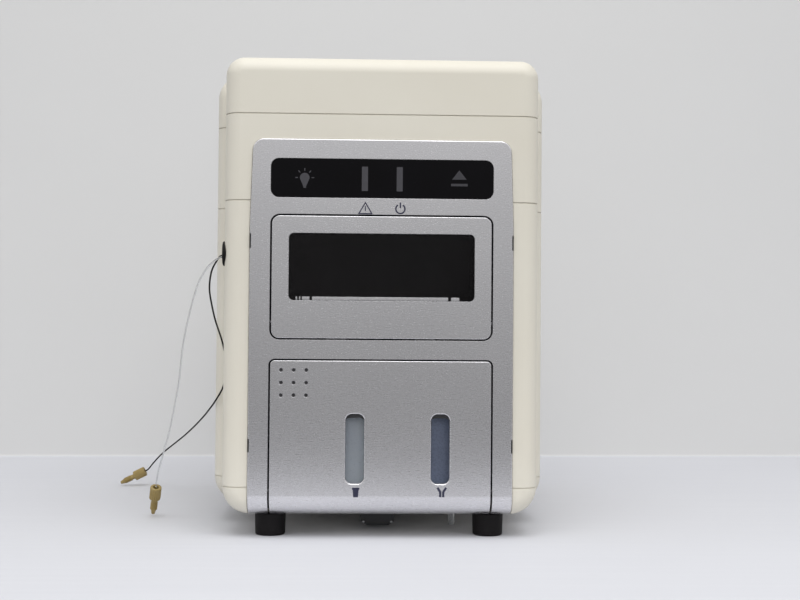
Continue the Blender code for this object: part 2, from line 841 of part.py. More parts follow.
# Plate stage: a nest with a pocket and finger notches, on a tail guided by two rails
stage_front = front_y + stage_front_inset
nest_back = stage_front + nest_depth
nest_middle = (stage_front + nest_back) / 2
plate_stage = block("plate_stage", (-nest_width / 2, stage_front, nest_bottom),
                    (nest_width / 2, nest_back, nest_top), "alloy")
combine(plate_stage, block("stage_tail", (-tail_width / 2, nest_back - finger_depth, nest_bottom),
                           (tail_width / 2, nest_back + tail_length, nest_bottom + tail_thickness)),
        "UNION")
rail_outer = rail_x + rail_width / 2
for side in (-1, 1):
    skirt_inner = rail_outer + slide_gap
    skirt_x = sorted((side * skirt_inner, side * (skirt_inner + skirt_thickness)))
    combine(plate_stage, block(f"skirt_{side}", (skirt_x[0], stage_front + skirt_front_gap,
                                                nest_bottom - skirt_drop),
                               (skirt_x[1], nest_back + tail_length, nest_bottom + tail_thickness / 2)),
            "UNION")
combine(plate_stage, prism("plate_pocket", rectangle(
    -pocket_width / 2, pocket_width / 2, nest_middle - pocket_depth / 2, nest_middle + pocket_depth / 2,
    pocket_radius, 3), pocket_floor, nest_top + overrun, "Z"))
for side in (-1, 1):
    notch = sorted((side * (pocket_width / 2 - finger_depth), side * (nest_width / 2 + overrun)))
    combine(plate_stage, prism(f"finger_notch_{side}", rectangle(
        notch[0], notch[1], nest_middle - finger_width / 2, nest_middle + finger_width / 2,
        finger_depth / 2, 4), nest_bottom - overrun, nest_top + overrun, "Z"))

# Rails: a broad foot and a narrow head, along the stage's travel
rail_front = front_y + rail_front_inset
rail_back = bulkhead_front - touch_gap - rail_foot_width
for side, word in ((-1, "left"), (1, "right")):
    middle = side * rail_x
    head_top = nest_bottom - touch_gap
    rail_profile = [(middle - rail_foot_width / 2, on_deck), (middle + rail_foot_width / 2, on_deck),
                    (middle + rail_foot_width / 2, on_deck + rail_foot_height),
                    (middle + rail_width / 2, on_deck + rail_foot_height),
                    (middle + rail_width / 2, head_top), (middle - rail_width / 2, head_top),
                    (middle - rail_width / 2, on_deck + rail_foot_height),
                    (middle - rail_foot_width / 2, on_deck + rail_foot_height)]
    prism(f"stage_rail_{word}", rail_profile, rail_front, rail_back, "Y", "alloy")

motor_back = rail_back - stage_motor_inset
stage_motor = block("stage_motor", (-stage_motor_size / 2, motor_back - stage_motor_length, on_deck),
                    (stage_motor_size / 2, motor_back, on_deck + stage_motor_size), "black")
round_edges(stage_motor, stage_motor_size * motor_edge_share,
            lambda one, two: abs(one.y - two.y) > weld_distance, 2)
shaft_front = motor_back - stage_motor_length - motor_shaft_length
combine(stage_motor, bar("stage_motor_shaft", (0, shaft_front, on_deck + stage_motor_size / 2), (0, 1, 0),
                         motor_shaft_length + overrun, shaft_radius, None, 16), "UNION")

# Sampling head: a carriage on two rods, with an arm that lowers the probe
probe_tip = probe_low_tip + probe_travel
arm_low = probe_tip + probe_exposed
carriage_front = rod_y - carriage_depth / 2
carriage = block("head_carriage", (park_x - carriage_width / 2, carriage_front, carriage_bottom),
                 (park_x + carriage_width / 2, carriage_front + carriage_depth, carriage_top), "black")
for side in (-1, 1):
    lip_x = sorted((park_x + side * (arm_width / 2 + slide_gap),
                    park_x + side * (arm_width / 2 + slide_gap + lip_thickness)))
    combine(carriage, block(f"carriage_lip_{side}",
                            (lip_x[0], carriage_front - lip_depth, carriage_bottom),
                            (lip_x[1], carriage_front + lip_thickness, carriage_top)), "UNION")
rod_half = frame_inner - rod_end_gap
for word, level in (("upper", upper_rod_z), ("lower", lower_rod_z)):
    rod = bar(f"head_rod_{word}", (-rod_half, rod_y, level), (1, 0, 0), 2 * rod_half, rod_radius,
              None, 24, "steel")
    smooth(rod)
    combine(carriage, hole(f"{word}_rod_bore", (-rod_half, rod_y, level), (1, 0, 0), 2 * rod_half,
                           rod_radius + rod_gap, 24))

arm_back = carriage_front - touch_gap
arm_front = probe_y - arm_depth / 2
probe_arm = block("probe_arm", (park_x - arm_width / 2, arm_front, arm_low),
                  (park_x + arm_width / 2, arm_back, arm_low + arm_height), "black")
round_edges(probe_arm, arm_width * arm_edge_share,
            lambda one, two: (one + two).y / 2 < arm_front + weld_distance
            and abs(one.z - two.z) > weld_distance, 3)
needle_grip = arm_height * needle_grip_share
combine(probe_arm, hole("needle_bore", (park_x, probe_y, arm_low - overrun), (0, 0, 1),
                        overrun + needle_grip + touch_gap, probe_radius + pin_bore_gap, 12))
probe_needle = bar("probe_needle", (park_x, probe_y, probe_tip + probe_tip_length), (0, 0, 1),
                   probe_exposed - probe_tip_length + needle_grip, probe_radius, None, 12, "steel")
combine(probe_needle, bar("needle_point", (park_x, probe_y, probe_tip), (0, 0, 1),
                          probe_tip_length + probe_radius, probe_radius * needle_point_share,
                          probe_radius * needle_shoulder_share, 12), "UNION")

head_motor_y = carriage_front + carriage_depth + lip_depth + head_motor_gap
head_motor = block("head_motor", (-deck_half, head_motor_y, frame_top - head_motor_size),
                   (-deck_half + head_motor_length, head_motor_y + head_motor_size, frame_top), "black")
round_edges(head_motor, head_motor_size * motor_edge_share,
            lambda one, two: abs(one.x - two.x) > weld_distance, 2)

wash_cup = bar("wash_cup", (park_x, probe_y, on_deck), (0, 0, 1), wash_cup_top - on_deck,
               wash_cup_radius, None, 28, "alloy")
combine(wash_cup, bar("wash_cup_foot", (park_x, probe_y, on_deck), (0, 0, 1), wash_cup_foot_height,
                      wash_cup_foot, None, 28), "UNION")
combine(wash_cup, hole("wash_cup_bore", (park_x, probe_y, wash_cup_top - wash_cup_bore_depth), (0, 0, 1),
                       wash_cup_bore_depth + overrun, wash_cup_bore, 20))

# Bottle bay: a tray with two pockets, two bottles with screw caps, and the wash pump
on_pan = pan_floor + touch_gap
tray_front = front_y + tray_front_inset
tray_middle = tray_front + tray_depth / 2
bottle_tray = block("bottle_tray", (tray_left_x, tray_front, on_pan),
                    (tray_right_x, tray_front + tray_depth, on_pan + tray_rim_height), "black")
on_tray = on_pan + tray_floor + touch_gap
bottle_top = on_tray + bottle_height
cap_low = bottle_top + cap_skirt_gap
for word, centre, body_finish in (("waste", left_slot_x, "bottle"), ("wash", right_slot_x, "wash")):
    pocket = rectangle(centre - bottle_half_width - slide_gap, centre + bottle_half_width + slide_gap,
                       tray_middle - bottle_half_depth - slide_gap,
                       tray_middle + bottle_half_depth + slide_gap, bottle_corner)
    combine(bottle_tray, prism(f"{word}_pocket", pocket, on_pan + tray_floor,
                               on_pan + tray_rim_height + overrun, "Z"))
    outline = rectangle(centre - bottle_half_width, centre + bottle_half_width,
                        tray_middle - bottle_half_depth, tray_middle + bottle_half_depth, bottle_corner)
    bottle = prism(f"{word}_bottle", outline, on_tray, bottle_top, "Z", body_finish)
    round_edges(bottle, bottle_shoulder * shoulder_round_share, at_z(bottle_top), 3)
    round_edges(bottle, bottle_wall, at_z(on_tray), 1)
    combine(bottle, bar(f"{word}_neck", (centre, tray_middle, bottle_top - bottle_shoulder), (0, 0, 1),
                        bottle_shoulder + neck_height, neck_radius, None, 28), "UNION")
    cap = bar(f"{word}_cap", (centre, tray_middle, cap_low), (0, 0, 1),
              neck_height + cap_roof, cap_radius, None, 2 * cap_grips, finish="black")
    round_edges(cap, cap_grip_depth * 2, at_z(cap_low + neck_height + cap_roof), 2)
    combine(cap, hole(f"{word}_cap_bore", (centre, tray_middle, cap_low - overrun), (0, 0, 1),
                      overrun + neck_height, neck_radius + cap_skirt_gap, 28))
    smooth(cap)

magnet_high = deck_top - deck_thickness - touch_gap
block("door_magnet", (-magnet_half_width, fascia_back_y + slide_gap, magnet_high - magnet_height),
      (magnet_half_width, deck_front + magnet_reach, magnet_high), "steel")

pump_x = (tray_left_x - deck_half) / 2
pump_front = tray_front + pump_head_length
wash_pump = block("wash_pump", (pump_x - pump_width / 2, pump_front, on_pan),
                  (pump_x + pump_width / 2, pump_front + pump_depth, on_pan + pump_height), "black")
round_edges(wash_pump, pump_port_radius, lambda one, two: abs(one.y - two.y) > weld_distance, 2)
pump_head_z = on_pan + pump_height / 2
combine(wash_pump, bar("pump_head", (pump_x, pump_front + pump_port_radius, pump_head_z), (0, -1, 0),
                       pump_head_length + pump_port_radius, pump_head_radius, None, 28), "UNION")
for side in (-1, 1):
    combine(wash_pump, bar(f"pump_port_{side}", (pump_x + side * pump_head_radius / 2,
                                                pump_front - pump_head_length / 2, pump_head_z),
                           (0, 0, 1), pump_head_radius + pump_port_length, pump_port_radius, None, 12),
            "UNION")

supply_front = tray_front + tray_depth + supply_gap
power_supply = block("power_supply", (supply_x - supply_width / 2, supply_front, on_pan),
                     (supply_x + supply_width / 2, supply_front + supply_depth,
                      on_pan + supply_height), "steel")
board_outer = -frame_x - touch_gap - board_standoff - board_thickness
board_front = step_y + board_inset
board_low = deck_top - board_height / 2
control_board = block("control_board", (board_outer, board_front, board_low),
                      (board_outer + board_thickness, board_front + board_length,
                       board_low + board_height), "board")
for row in spacer_shares:
    for column in spacer_shares:
        spacer_place = (board_outer + board_thickness / 2, board_front + column * board_length,
                        board_low + row * board_height)
        combine(control_board, bar(f"spacer_{row}_{column}", spacer_place, (1, 0, 0),
                                   board_standoff + board_thickness / 2, shaft_radius, None, 12),
                "UNION")

# Rear panel with its vents, fan, mains inlet, power switch and data port
panel_back = back_y - rear_panel_recess
panel_front = panel_back - rear_panel_thickness
panel_edge = shell_wall + touch_gap
rear_panel = prism("rear_panel", rounded([
    (-rear_half_width + panel_edge, body_bottom + panel_edge, bottom_radius - panel_edge),
    (rear_half_width - panel_edge, body_bottom + panel_edge, bottom_radius - panel_edge),
    (rear_half_width - panel_edge, body_top - panel_edge, rear_top_radius - panel_edge),
    (-rear_half_width + panel_edge, body_top - panel_edge, rear_top_radius - panel_edge)], 5),
    panel_front, panel_back, "Y", "cream")
for index in range(vent_count):
    centre = vent_x + (index - (vent_count - 1) / 2) * vent_pitch
    combine(rear_panel, prism(f"vent_{index}", rectangle(
        centre - vent_width / 2, centre + vent_width / 2, vent_z - vent_height / 2,
        vent_z + vent_height / 2, vent_width / 3, 1), panel_front - overrun, panel_back + overrun))
combine(rear_panel, hole("fan_hole", (fan_x, panel_front - overrun, fan_z), (0, 1, 0),
                         rear_panel_thickness + 2 * overrun, fan_bore, fan_bore_sides))

fan_back = panel_front - touch_gap
fan_front = fan_back - fan_depth
fan_half = fan_size / 2
fan_frame = prism("fan_frame", rectangle(fan_x - fan_half, fan_x + fan_half, fan_z - fan_half,
                                         fan_z + fan_half, fan_corner, 3),
                  fan_front, fan_back, "Y", "black")
combine(fan_frame, hole("fan_bore", (fan_x, fan_front - overrun, fan_z), (0, 1, 0),
                        fan_depth + 2 * overrun, fan_bore, fan_bore_sides))
combine(fan_frame, bar("fan_motor_plate", (fan_x, fan_front, fan_z), (0, 1, 0), strut_depth,
                       hub_radius, None, 28), "UNION")
for index in range(strut_count):
    angle = math.radians(strut_angle) + math.tau * index / strut_count
    combine(fan_frame, bar(f"fan_strut_{index}", (fan_x, fan_front + strut_depth / 2, fan_z),
                           (math.cos(angle), 0, math.sin(angle)), fan_bore + strut_depth,
                           strut_depth / 2 - touch_gap, None, 8), "UNION")
combine(fan_frame, hole("fan_shaft_bore", (fan_x, fan_front - overrun, fan_z), (0, 1, 0),
                        overrun + strut_depth + overrun, shaft_radius + rod_gap, 16))

rotor_front = fan_front + strut_depth + seam_gap
rotor_back = fan_back - seam_gap
rotor_depth = rotor_back - rotor_front
fan_impeller = bar("fan_impeller", (fan_x, rotor_front, fan_z), (0, 1, 0), rotor_depth, hub_radius,
                   None, 28, "black")
combine(fan_impeller, bar("fan_shaft", (fan_x, fan_front + touch_gap, fan_z), (0, 1, 0),
                          rotor_depth, shaft_radius, None, 16), "UNION")
blade_start = hub_radius * blade_root_share
blade_end = fan_bore - blade_tip_gap
for index in range(blade_count):
    work = bmesh.new()
    blade_size = Matrix.Diagonal((blade_end - blade_start, blade_chord, blade_thickness, 1))
    blade_centre = Matrix.Translation(((blade_start + blade_end) / 2, 0, 0))
    bmesh.ops.create_cube(work, size=1, matrix=blade_centre @ blade_size)
    long_edges = [edge for edge in work.edges
                  if abs(edge.verts[0].co.x - edge.verts[1].co.x) > weld_distance]
    bmesh.ops.subdivide_edges(work, edges=long_edges, cuts=2, use_grid_fill=True)
    for vertex in work.verts:
        share = (vertex.co.x - blade_start) / (blade_end - blade_start)
        pitch = math.radians(blade_root_pitch + share * (blade_tip_pitch - blade_root_pitch))
        vertex.co.rotate(Matrix.Rotation(pitch, 3, "X"))
    stand = Matrix.Rotation(math.radians(90), 4, "X")
    spin = Matrix.Rotation(math.tau * index / blade_count, 4, "Y")
    place = Matrix.Translation((fan_x, (rotor_front + rotor_back) / 2, fan_z))
    bmesh.ops.transform(work, matrix=place @ spin @ stand, verts=work.verts)
    blade = add_mesh(f"fan_blade_{index}", mesh_from(work, f"fan_blade_{index}"))
    combine(fan_impeller, blade, "UNION")

guard_y = panel_back + touch_gap + guard_wire
guard_front = guard_y - guard_wire
guard_back = guard_y + guard_wire / 2
fan_guard = block("fan_guard", (fan_x - fan_half, guard_front, fan_z - guard_bar / 2),
                  (fan_x + fan_half, guard_back, fan_z + guard_bar / 2), "black")
combine(fan_guard, block("guard_upright", (fan_x - guard_bar / 2, guard_front, fan_z - fan_half),
                         (fan_x + guard_bar / 2, guard_back, fan_z + fan_half)), "UNION")
for index in range(guard_ring_count):
    work = bmesh.new()
    ring_radius = guard_ring_pitch * (index + 1)
    turns = [math.tau * side / guard_sides for side in range(guard_sides)]
    profile_ring = [work.verts.new((ring_radius + guard_wire * math.cos(turn), 0,
                                    guard_wire * math.sin(turn))) for turn in turns]
    loop_edges = [work.edges.new((profile_ring[side - 1], profile_ring[side]))
                  for side in range(guard_sides)]
    bmesh.ops.spin(work, geom=profile_ring + loop_edges, axis=(0, 0, 1), cent=(0, 0, 0),
                   angle=math.tau, steps=guard_steps, use_merge=True)
    bmesh.ops.remove_doubles(work, verts=work.verts, dist=weld_distance)
    stand = Matrix.Translation((fan_x, guard_y, fan_z)) @ Matrix.Rotation(math.radians(90), 4, "X")
    bmesh.ops.transform(work, matrix=stand, verts=work.verts)
    combine(fan_guard, add_mesh(f"guard_ring_{index}", mesh_from(work, f"guard_ring_{index}")), "UNION")

bezel_front = panel_back + touch_gap
bezel_back = bezel_front + inlet_bezel
power_inlet = prism("power_inlet", rectangle(inlet_x - inlet_width / 2, inlet_x + inlet_width / 2,
                                             inlet_z - inlet_height / 2, inlet_z + inlet_height / 2,
                                             inlet_bezel), bezel_front, bezel_back, "Y", "black")
inner_half_width = inlet_width / 2 - inlet_bezel
inner_half_height = inlet_height / 2 - inlet_bezel
combine(power_inlet, block("inlet_body", (inlet_x - inner_half_width, bezel_back - inlet_depth,
                                          inlet_z - inner_half_height),
                           (inlet_x + inner_half_width, bezel_front + inlet_bezel / 2,
                            inlet_z + inner_half_height)), "UNION")
combine(rear_panel, block("inlet_cutout", (inlet_x - inner_half_width - touch_gap, panel_front - overrun,
                                           inlet_z - inner_half_height - touch_gap),
                          (inlet_x + inner_half_width + touch_gap, panel_back + overrun,
                           inlet_z + inner_half_height + touch_gap)))
mouth_z = inlet_z - inner_half_height + inlet_bezel + inlet_mouth_height / 2
combine(power_inlet, prism("inlet_mouth", rectangle(
    inlet_x - inlet_mouth_width / 2, inlet_x + inlet_mouth_width / 2, mouth_z - inlet_mouth_height / 2,
    mouth_z + inlet_mouth_height / 2, inlet_bezel, 2),
    bezel_back - inlet_mouth_depth, bezel_back + overrun))
switch_z = inlet_z + inner_half_height - inlet_bezel - switch_height / 2 - switch_well_gap
combine(power_inlet, block("switch_well", (inlet_x - switch_width / 2 - switch_well_gap,
                                           bezel_back - switch_depth,
                                           switch_z - switch_height / 2 - switch_well_gap),
                           (inlet_x + switch_width / 2 + switch_well_gap, bezel_back + overrun,
                            switch_z + switch_height / 2 + switch_well_gap)))
switch_pivot = (inlet_x, bezel_back - switch_pivot_inset, switch_z)
rocker_half = switch_height / 2 - switch_well_gap
rocker_reach = switch_pivot_inset - switch_well_gap
rocker_profile = [(-rocker_reach, -rocker_half * rocker_root_share), (rocker_reach, -rocker_half),
                  (rocker_reach * rocker_root_share, 0), (rocker_reach, rocker_half),
                  (-rocker_reach, rocker_half * rocker_root_share)]
power_switch = prism("power_switch", rocker_profile, -switch_width / 2, switch_width / 2, "X", "black")
power_switch.data.transform(Matrix.Rotation(math.radians(-switch_tilt), 4, "X"))
power_switch.location = switch_pivot

port_left = port_x - port_width / 2
port_right = port_x + port_width / 2
port_low = port_z - port_height / 2
port_high = port_z + port_height / 2
data_port = block("data_port", (port_left, panel_back - port_depth, port_low),
                  (port_right, panel_back + touch_gap, port_high), "steel")
combine(data_port, block("data_port_mouth", (port_x - port_hole_width / 2, panel_back - port_hole_depth,
                                             port_z - port_hole_height / 2),
                         (port_x + port_hole_width / 2, panel_back + overrun,
                          port_z + port_hole_height / 2)))
combine(rear_panel, block("port_cutout", (port_left - touch_gap, panel_front - overrun,
                                          port_low - touch_gap),
                          (port_right + touch_gap, panel_back + overrun, port_high + touch_gap)))

# Underside: the drain block and the drain spout
block_front = front_y + block_front_inset
under_body = body_bottom - touch_gap
prism("drain_block", [(block_x - block_bottom_half, block_low), (block_x + block_bottom_half, block_low),
                      (block_x + block_top_half, block_knee),
                      (block_x + block_top_half, under_body), (block_x - block_top_half, under_body),
                      (block_x - block_top_half, block_knee)],
      block_front, block_front + block_depth, "Y", "black")
drain_spout = bar("drain_spout", (spout_x, front_y + spout_front_inset, spout_low), (0, 0, 1),
                  under_body - spout_low, spout_radius, None, 20, "clear")
combine(drain_spout, hole("spout_bore", (spout_x, front_y + spout_front_inset, spout_low - overrun),
                          (0, 0, 1), under_body, spout_bore, 16))

# Side port: an oval gland in the left panel
gland_y = front_y + gland_inset
gland_outer = -front_half_width - gland_proud


def oval(half_y, half_z):
    return rectangle(gland_y - half_y, gland_y + half_y, gland_z - half_z, gland_z + half_z,
                     half_y * gland_round_share, 4)


port_gland = prism("port_gland", oval(gland_half_width, gland_half_height), gland_outer,
                   -front_half_width + gland_seat, "X", "rubber")
round_edges(port_gland, gland_edge,
            lambda one, two: max(one.x, two.x) < gland_outer + weld_distance, 2)
combine(port_gland, module_form("gland_seat_form", front_half_width, front_top_radius,
                                front_rim_radius, cream_front_y - touch_gap,
                                step_y + rear_half_width, -touch_gap))
combine(port_gland, prism("gland_neck", oval(gland_neck_half_width, gland_neck_half_height),
                          gland_outer + gland_flange,
                          -front_half_width + shell_wall + gland_inside, "X"), "UNION")
combine(side_panels[0], prism("gland_hole", oval(gland_neck_half_width + touch_gap,
                                                 gland_neck_half_height + touch_gap),
                              -front_half_width - overrun, -front_half_width + overrun, "X"))


# A smooth curve through a route's points, as evenly spaced tube points
def smooth_route(route):
    points = [Vector(point) for point in route]
    padded = [2 * points[0] - points[1], *points, 2 * points[-1] - points[-2]]
    fine = []
    for index in range(len(points) - 1):
        before, start, end, after = padded[index:index + 4]
        for step in range(route_steps):
            t = step / route_steps
            fine.append((2 * start + (end - before) * t
                         + (2 * before - 5 * start + 4 * end - after) * t ** 2
                         + (3 * start - before - 3 * end + after) * t ** 3) / 2)
    fine.append(points[-1])
    length = sum((two - one).length for one, two in zip(fine, fine[1:]))
    count = round(length / tube_step)
    marks = [tube_exit_run, *(length * index / count for index in range(1, count))]
    even = [fine[0]]
    walked = 0
    for one, two in zip(fine, fine[1:]):
        run = (two - one).length
        while marks and walked + run >= marks[0]:
            even.append(one.lerp(two, (marks.pop(0) - walked) / run))
        walked += run
    even.append(fine[-1])
    return even, length


def tube(name, route, finish):
    points, length = smooth_route(route)
    curve = bpy.data.curves.new(name, "CURVE")
    curve.dimensions = "3D"
    curve.bevel_depth = tube_radius
    curve.bevel_resolution = 2
    curve.use_fill_caps = True
    spline = curve.splines.new("POLY")
    spline.points.add(len(points) - 1)
    for target, point in zip(spline.points, points):
        target.co = (*point, 1)
    tube_object = bpy.data.objects.new(name, curve)
    part_collection.objects.link(tube_object)
    curve.materials.append(finishes[finish])
    print(name, "length", round(length, 4))


# A fingertight nut, turned about its own axis, with its cone at the far end
def nut(name, route, tip):
    thread_start = -nut_length * thread_start_share
    thread_end = -nut_length * thread_end_share
    profile = [(0, 0), (nut_head_radius - nut_edge_radius, 0), (nut_head_radius, -nut_edge_radius),
               (nut_head_radius, -nut_head_length),
               (nut_waist_radius, -nut_head_length - nut_edge_radius),
               (nut_waist_radius, thread_start), (nut_thread_radius, thread_start),
               (nut_thread_radius, thread_end), (nut_cone_radius, -nut_length), (0, -nut_length)]
    mesh = bpy.data.meshes.new(name)
    mesh.from_pydata([(radius, 0, level) for radius, level in profile],
                     [(index, index + 1) for index in range(len(profile) - 1)], [])
    turned = add_mesh(name, mesh, "tan")
    screw = turned.modifiers.new("turning", "SCREW")
    screw.axis = "Z"
    screw.steps = nut_sides
    screw.render_steps = nut_sides
    screw.use_merge_vertices = True
    screw.merge_threshold = weld_distance
    start = Vector(route[-1])
    direction = (Vector(tip) - start).normalized()
    turned.location = start + direction * touch_gap
    turned.rotation_mode = "QUATERNION"
    turned.rotation_quaternion = (-direction).to_track_quat("Z", "Y")


tube("black_tube", black_route, "rubber")
tube("clear_tube", clear_route, "clear")
nut("black_tube_nut", black_route, black_nut_tip)
nut("clear_tube_nut", clear_route, clear_nut_tip)

# Moving pieces turn about, or slide from, their own origins
set_origin(plate_door, (0, plate_axis_y, plate_hinge_height))
set_origin(bottle_door, (0, bottle_axis_y, bottle_hinge_height))
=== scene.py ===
import json
import math

import bmesh
import bpy
from mathutils import Matrix, Vector

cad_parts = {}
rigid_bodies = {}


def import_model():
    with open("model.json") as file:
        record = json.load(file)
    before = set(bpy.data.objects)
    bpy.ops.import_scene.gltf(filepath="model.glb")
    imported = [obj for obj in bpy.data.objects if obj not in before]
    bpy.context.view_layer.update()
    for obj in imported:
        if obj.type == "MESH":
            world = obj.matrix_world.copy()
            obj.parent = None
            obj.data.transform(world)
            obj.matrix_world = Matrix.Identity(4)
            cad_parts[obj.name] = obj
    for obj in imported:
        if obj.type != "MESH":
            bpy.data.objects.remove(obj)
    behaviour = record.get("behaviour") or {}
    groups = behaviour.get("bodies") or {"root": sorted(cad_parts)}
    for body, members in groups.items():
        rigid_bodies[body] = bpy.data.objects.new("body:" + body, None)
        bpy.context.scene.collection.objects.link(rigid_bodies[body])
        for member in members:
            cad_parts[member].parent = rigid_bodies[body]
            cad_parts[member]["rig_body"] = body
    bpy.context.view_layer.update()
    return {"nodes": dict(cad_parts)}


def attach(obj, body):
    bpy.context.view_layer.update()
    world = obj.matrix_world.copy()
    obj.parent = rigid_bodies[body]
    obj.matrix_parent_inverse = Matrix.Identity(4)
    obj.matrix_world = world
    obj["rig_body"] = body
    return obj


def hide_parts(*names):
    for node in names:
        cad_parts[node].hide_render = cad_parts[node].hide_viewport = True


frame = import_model()
cadNodes = frame["nodes"]
scene = bpy.context.scene
hair = 0.00002  # the smallest gap that counts
sides = ((-1, "left"), (1, "right"))


def report(stage):
    print("autosampler:", stage)


def putObject(name, data):
    holder = bpy.data.objects.new(name, data)
    scene.collection.objects.link(holder)
    return holder


# Pairs that ease from 1, 0 to 0, 1 along a round corner, a quarter turn unless degrees differ
def ease(steps, first=0, degrees=90):
    turns = [math.radians(degrees) * step / steps for step in range(first, steps + 1)]
    return [(1 - math.sin(turn), 1 - math.cos(turn)) for turn in turns]


# Camera: at bench height, turned a little to the right
cameraFacts = {"place": (-0.0218, -1.3, 0.184), "yaw": 1.973, "pitch": 1.303, "roll": 0.45,
               "lens": 56.565, "sensor": 36.0, "near": 0.01, "far": 50}


def placeCamera(place, yaw, pitch, roll, lens, sensor, near, far):
    yaw, pitch, roll = (math.radians(angle) for angle in (yaw, pitch, roll))
    forward = Vector((math.sin(yaw) * math.cos(pitch), math.cos(yaw) * math.cos(pitch),
                      math.sin(pitch)))
    level = Vector((math.cos(yaw), -math.sin(yaw), 0))
    upright = level.cross(forward)
    right = level * math.cos(roll) + upright * math.sin(roll)
    up = upright * math.cos(roll) - level * math.sin(roll)
    camera = bpy.data.cameras.new("photoCamera")
    camera.lens = lens
    camera.sensor_width = sensor
    camera.clip_start = near
    camera.clip_end = far
    scene.camera = putObject("photoCamera", camera)
    turn = Matrix((right, up, -forward)).transposed().to_4x4()
    scene.camera.matrix_world = Matrix.Translation(place) @ turn


placeCamera(**cameraFacts)
scene.view_settings.view_transform = "Standard"
report("camera placed")


# Colours are written as they look on screen, 0 to 255
def seen(levels):
    shares = [level / 255 for level in levels]
    return tuple(s / 12.92 if s <= 0.04045 else ((s + 0.055) / 1.055) ** 2.4 for s in shares) + (1,)


def darker(colour, step):
    return tuple(level - step for level in colour)


# Inputs by name or number: outputs are linked, and a node stands for its first output
def setInputs(tree, node, inputs):
    for key, value in inputs.items():
        if isinstance(value, bpy.types.Node):
            value = value.outputs[0]
        if isinstance(value, bpy.types.NodeSocket):
            tree.links.new(value, node.inputs[key])
        else:
            node.inputs[key].default_value = value


def addNode(tree, kind, inputs=(), **settings):
    node = tree.nodes.new(kind)
    for key, value in settings.items():
        setattr(node, key, value)
    setInputs(tree, node, dict(inputs))
    return node


# Two tones in soft patches, and a grain that moves gloss and height. A clear finish lets light in
grainFacts = {"coatRough": 0.1, "bumpHeight": 0.0002, "patches": (0.3, 0.7), "gloss": (0.25, 0.75)}


def mixFinish(name, colour, tone, patch, grain, rough, bump, metal=0.0, coat=0.0, specular=0.5,
              stretch=(1, 1, 1), fleck=0.06, roughSpread=0.05, cells=0, clear=None, bend=1.45):
    material = bpy.data.materials.new(name)
    material.use_nodes = True
    tree = material.node_tree
    spot = addNode(tree, "ShaderNodeTexCoord").outputs["Object"]
    patches = addNode(tree, "ShaderNodeTexNoise", {"Vector": spot, "Scale": patch, "Detail": 4.0})
    low, high = grainFacts["patches"]
    spread = addNode(tree, "ShaderNodeMapRange", {"Value": patches, "From Min": low,
                                                  "From Max": high})
    tones = addNode(tree, "ShaderNodeMix", {0: spread, 6: seen(colour), 7: seen(tone)},
                    data_type="RGBA")
    stretched = addNode(tree, "ShaderNodeMapping", {"Vector": spot, "Scale": stretch})
    height = addNode(tree, "ShaderNodeTexNoise", {"Vector": stretched, "Scale": grain,
                                                  "Detail": 3.0})
    flecks = addNode(tree, "ShaderNodeMix", {0: fleck, 6: tones.outputs[2], 7: height},
                     data_type="RGBA", blend_type="OVERLAY")
    low, high = grainFacts["gloss"]
    gloss = addNode(tree, "ShaderNodeMapRange", {
        "Value": height, "From Min": low, "From Max": high, "To Min": rough - roughSpread,
        "To Max": rough + roughSpread})
    if cells:
        cell = addNode(tree, "ShaderNodeTexVoronoi", {"Vector": spot, "Scale": cells})
        height = addNode(tree, "ShaderNodeMath", {0: height, 1: cell}, operation="ADD")
    bumps = addNode(tree, "ShaderNodeBump", {"Strength": bump, "Height": height,
                                             "Distance": grainFacts["bumpHeight"]})
    shader = tree.nodes["Principled BSDF"]
    setInputs(tree, shader, {
        "Base Color": flecks.outputs[2], "Roughness": gloss, "Normal": bumps, "Metallic": metal,
        "Specular IOR Level": specular, "Coat Weight": coat,
        "Coat Roughness": grainFacts["coatRough"]})
    if clear is not None:
        setInputs(tree, shader, {"Transmission Weight": clear, "IOR": bend})
    return material


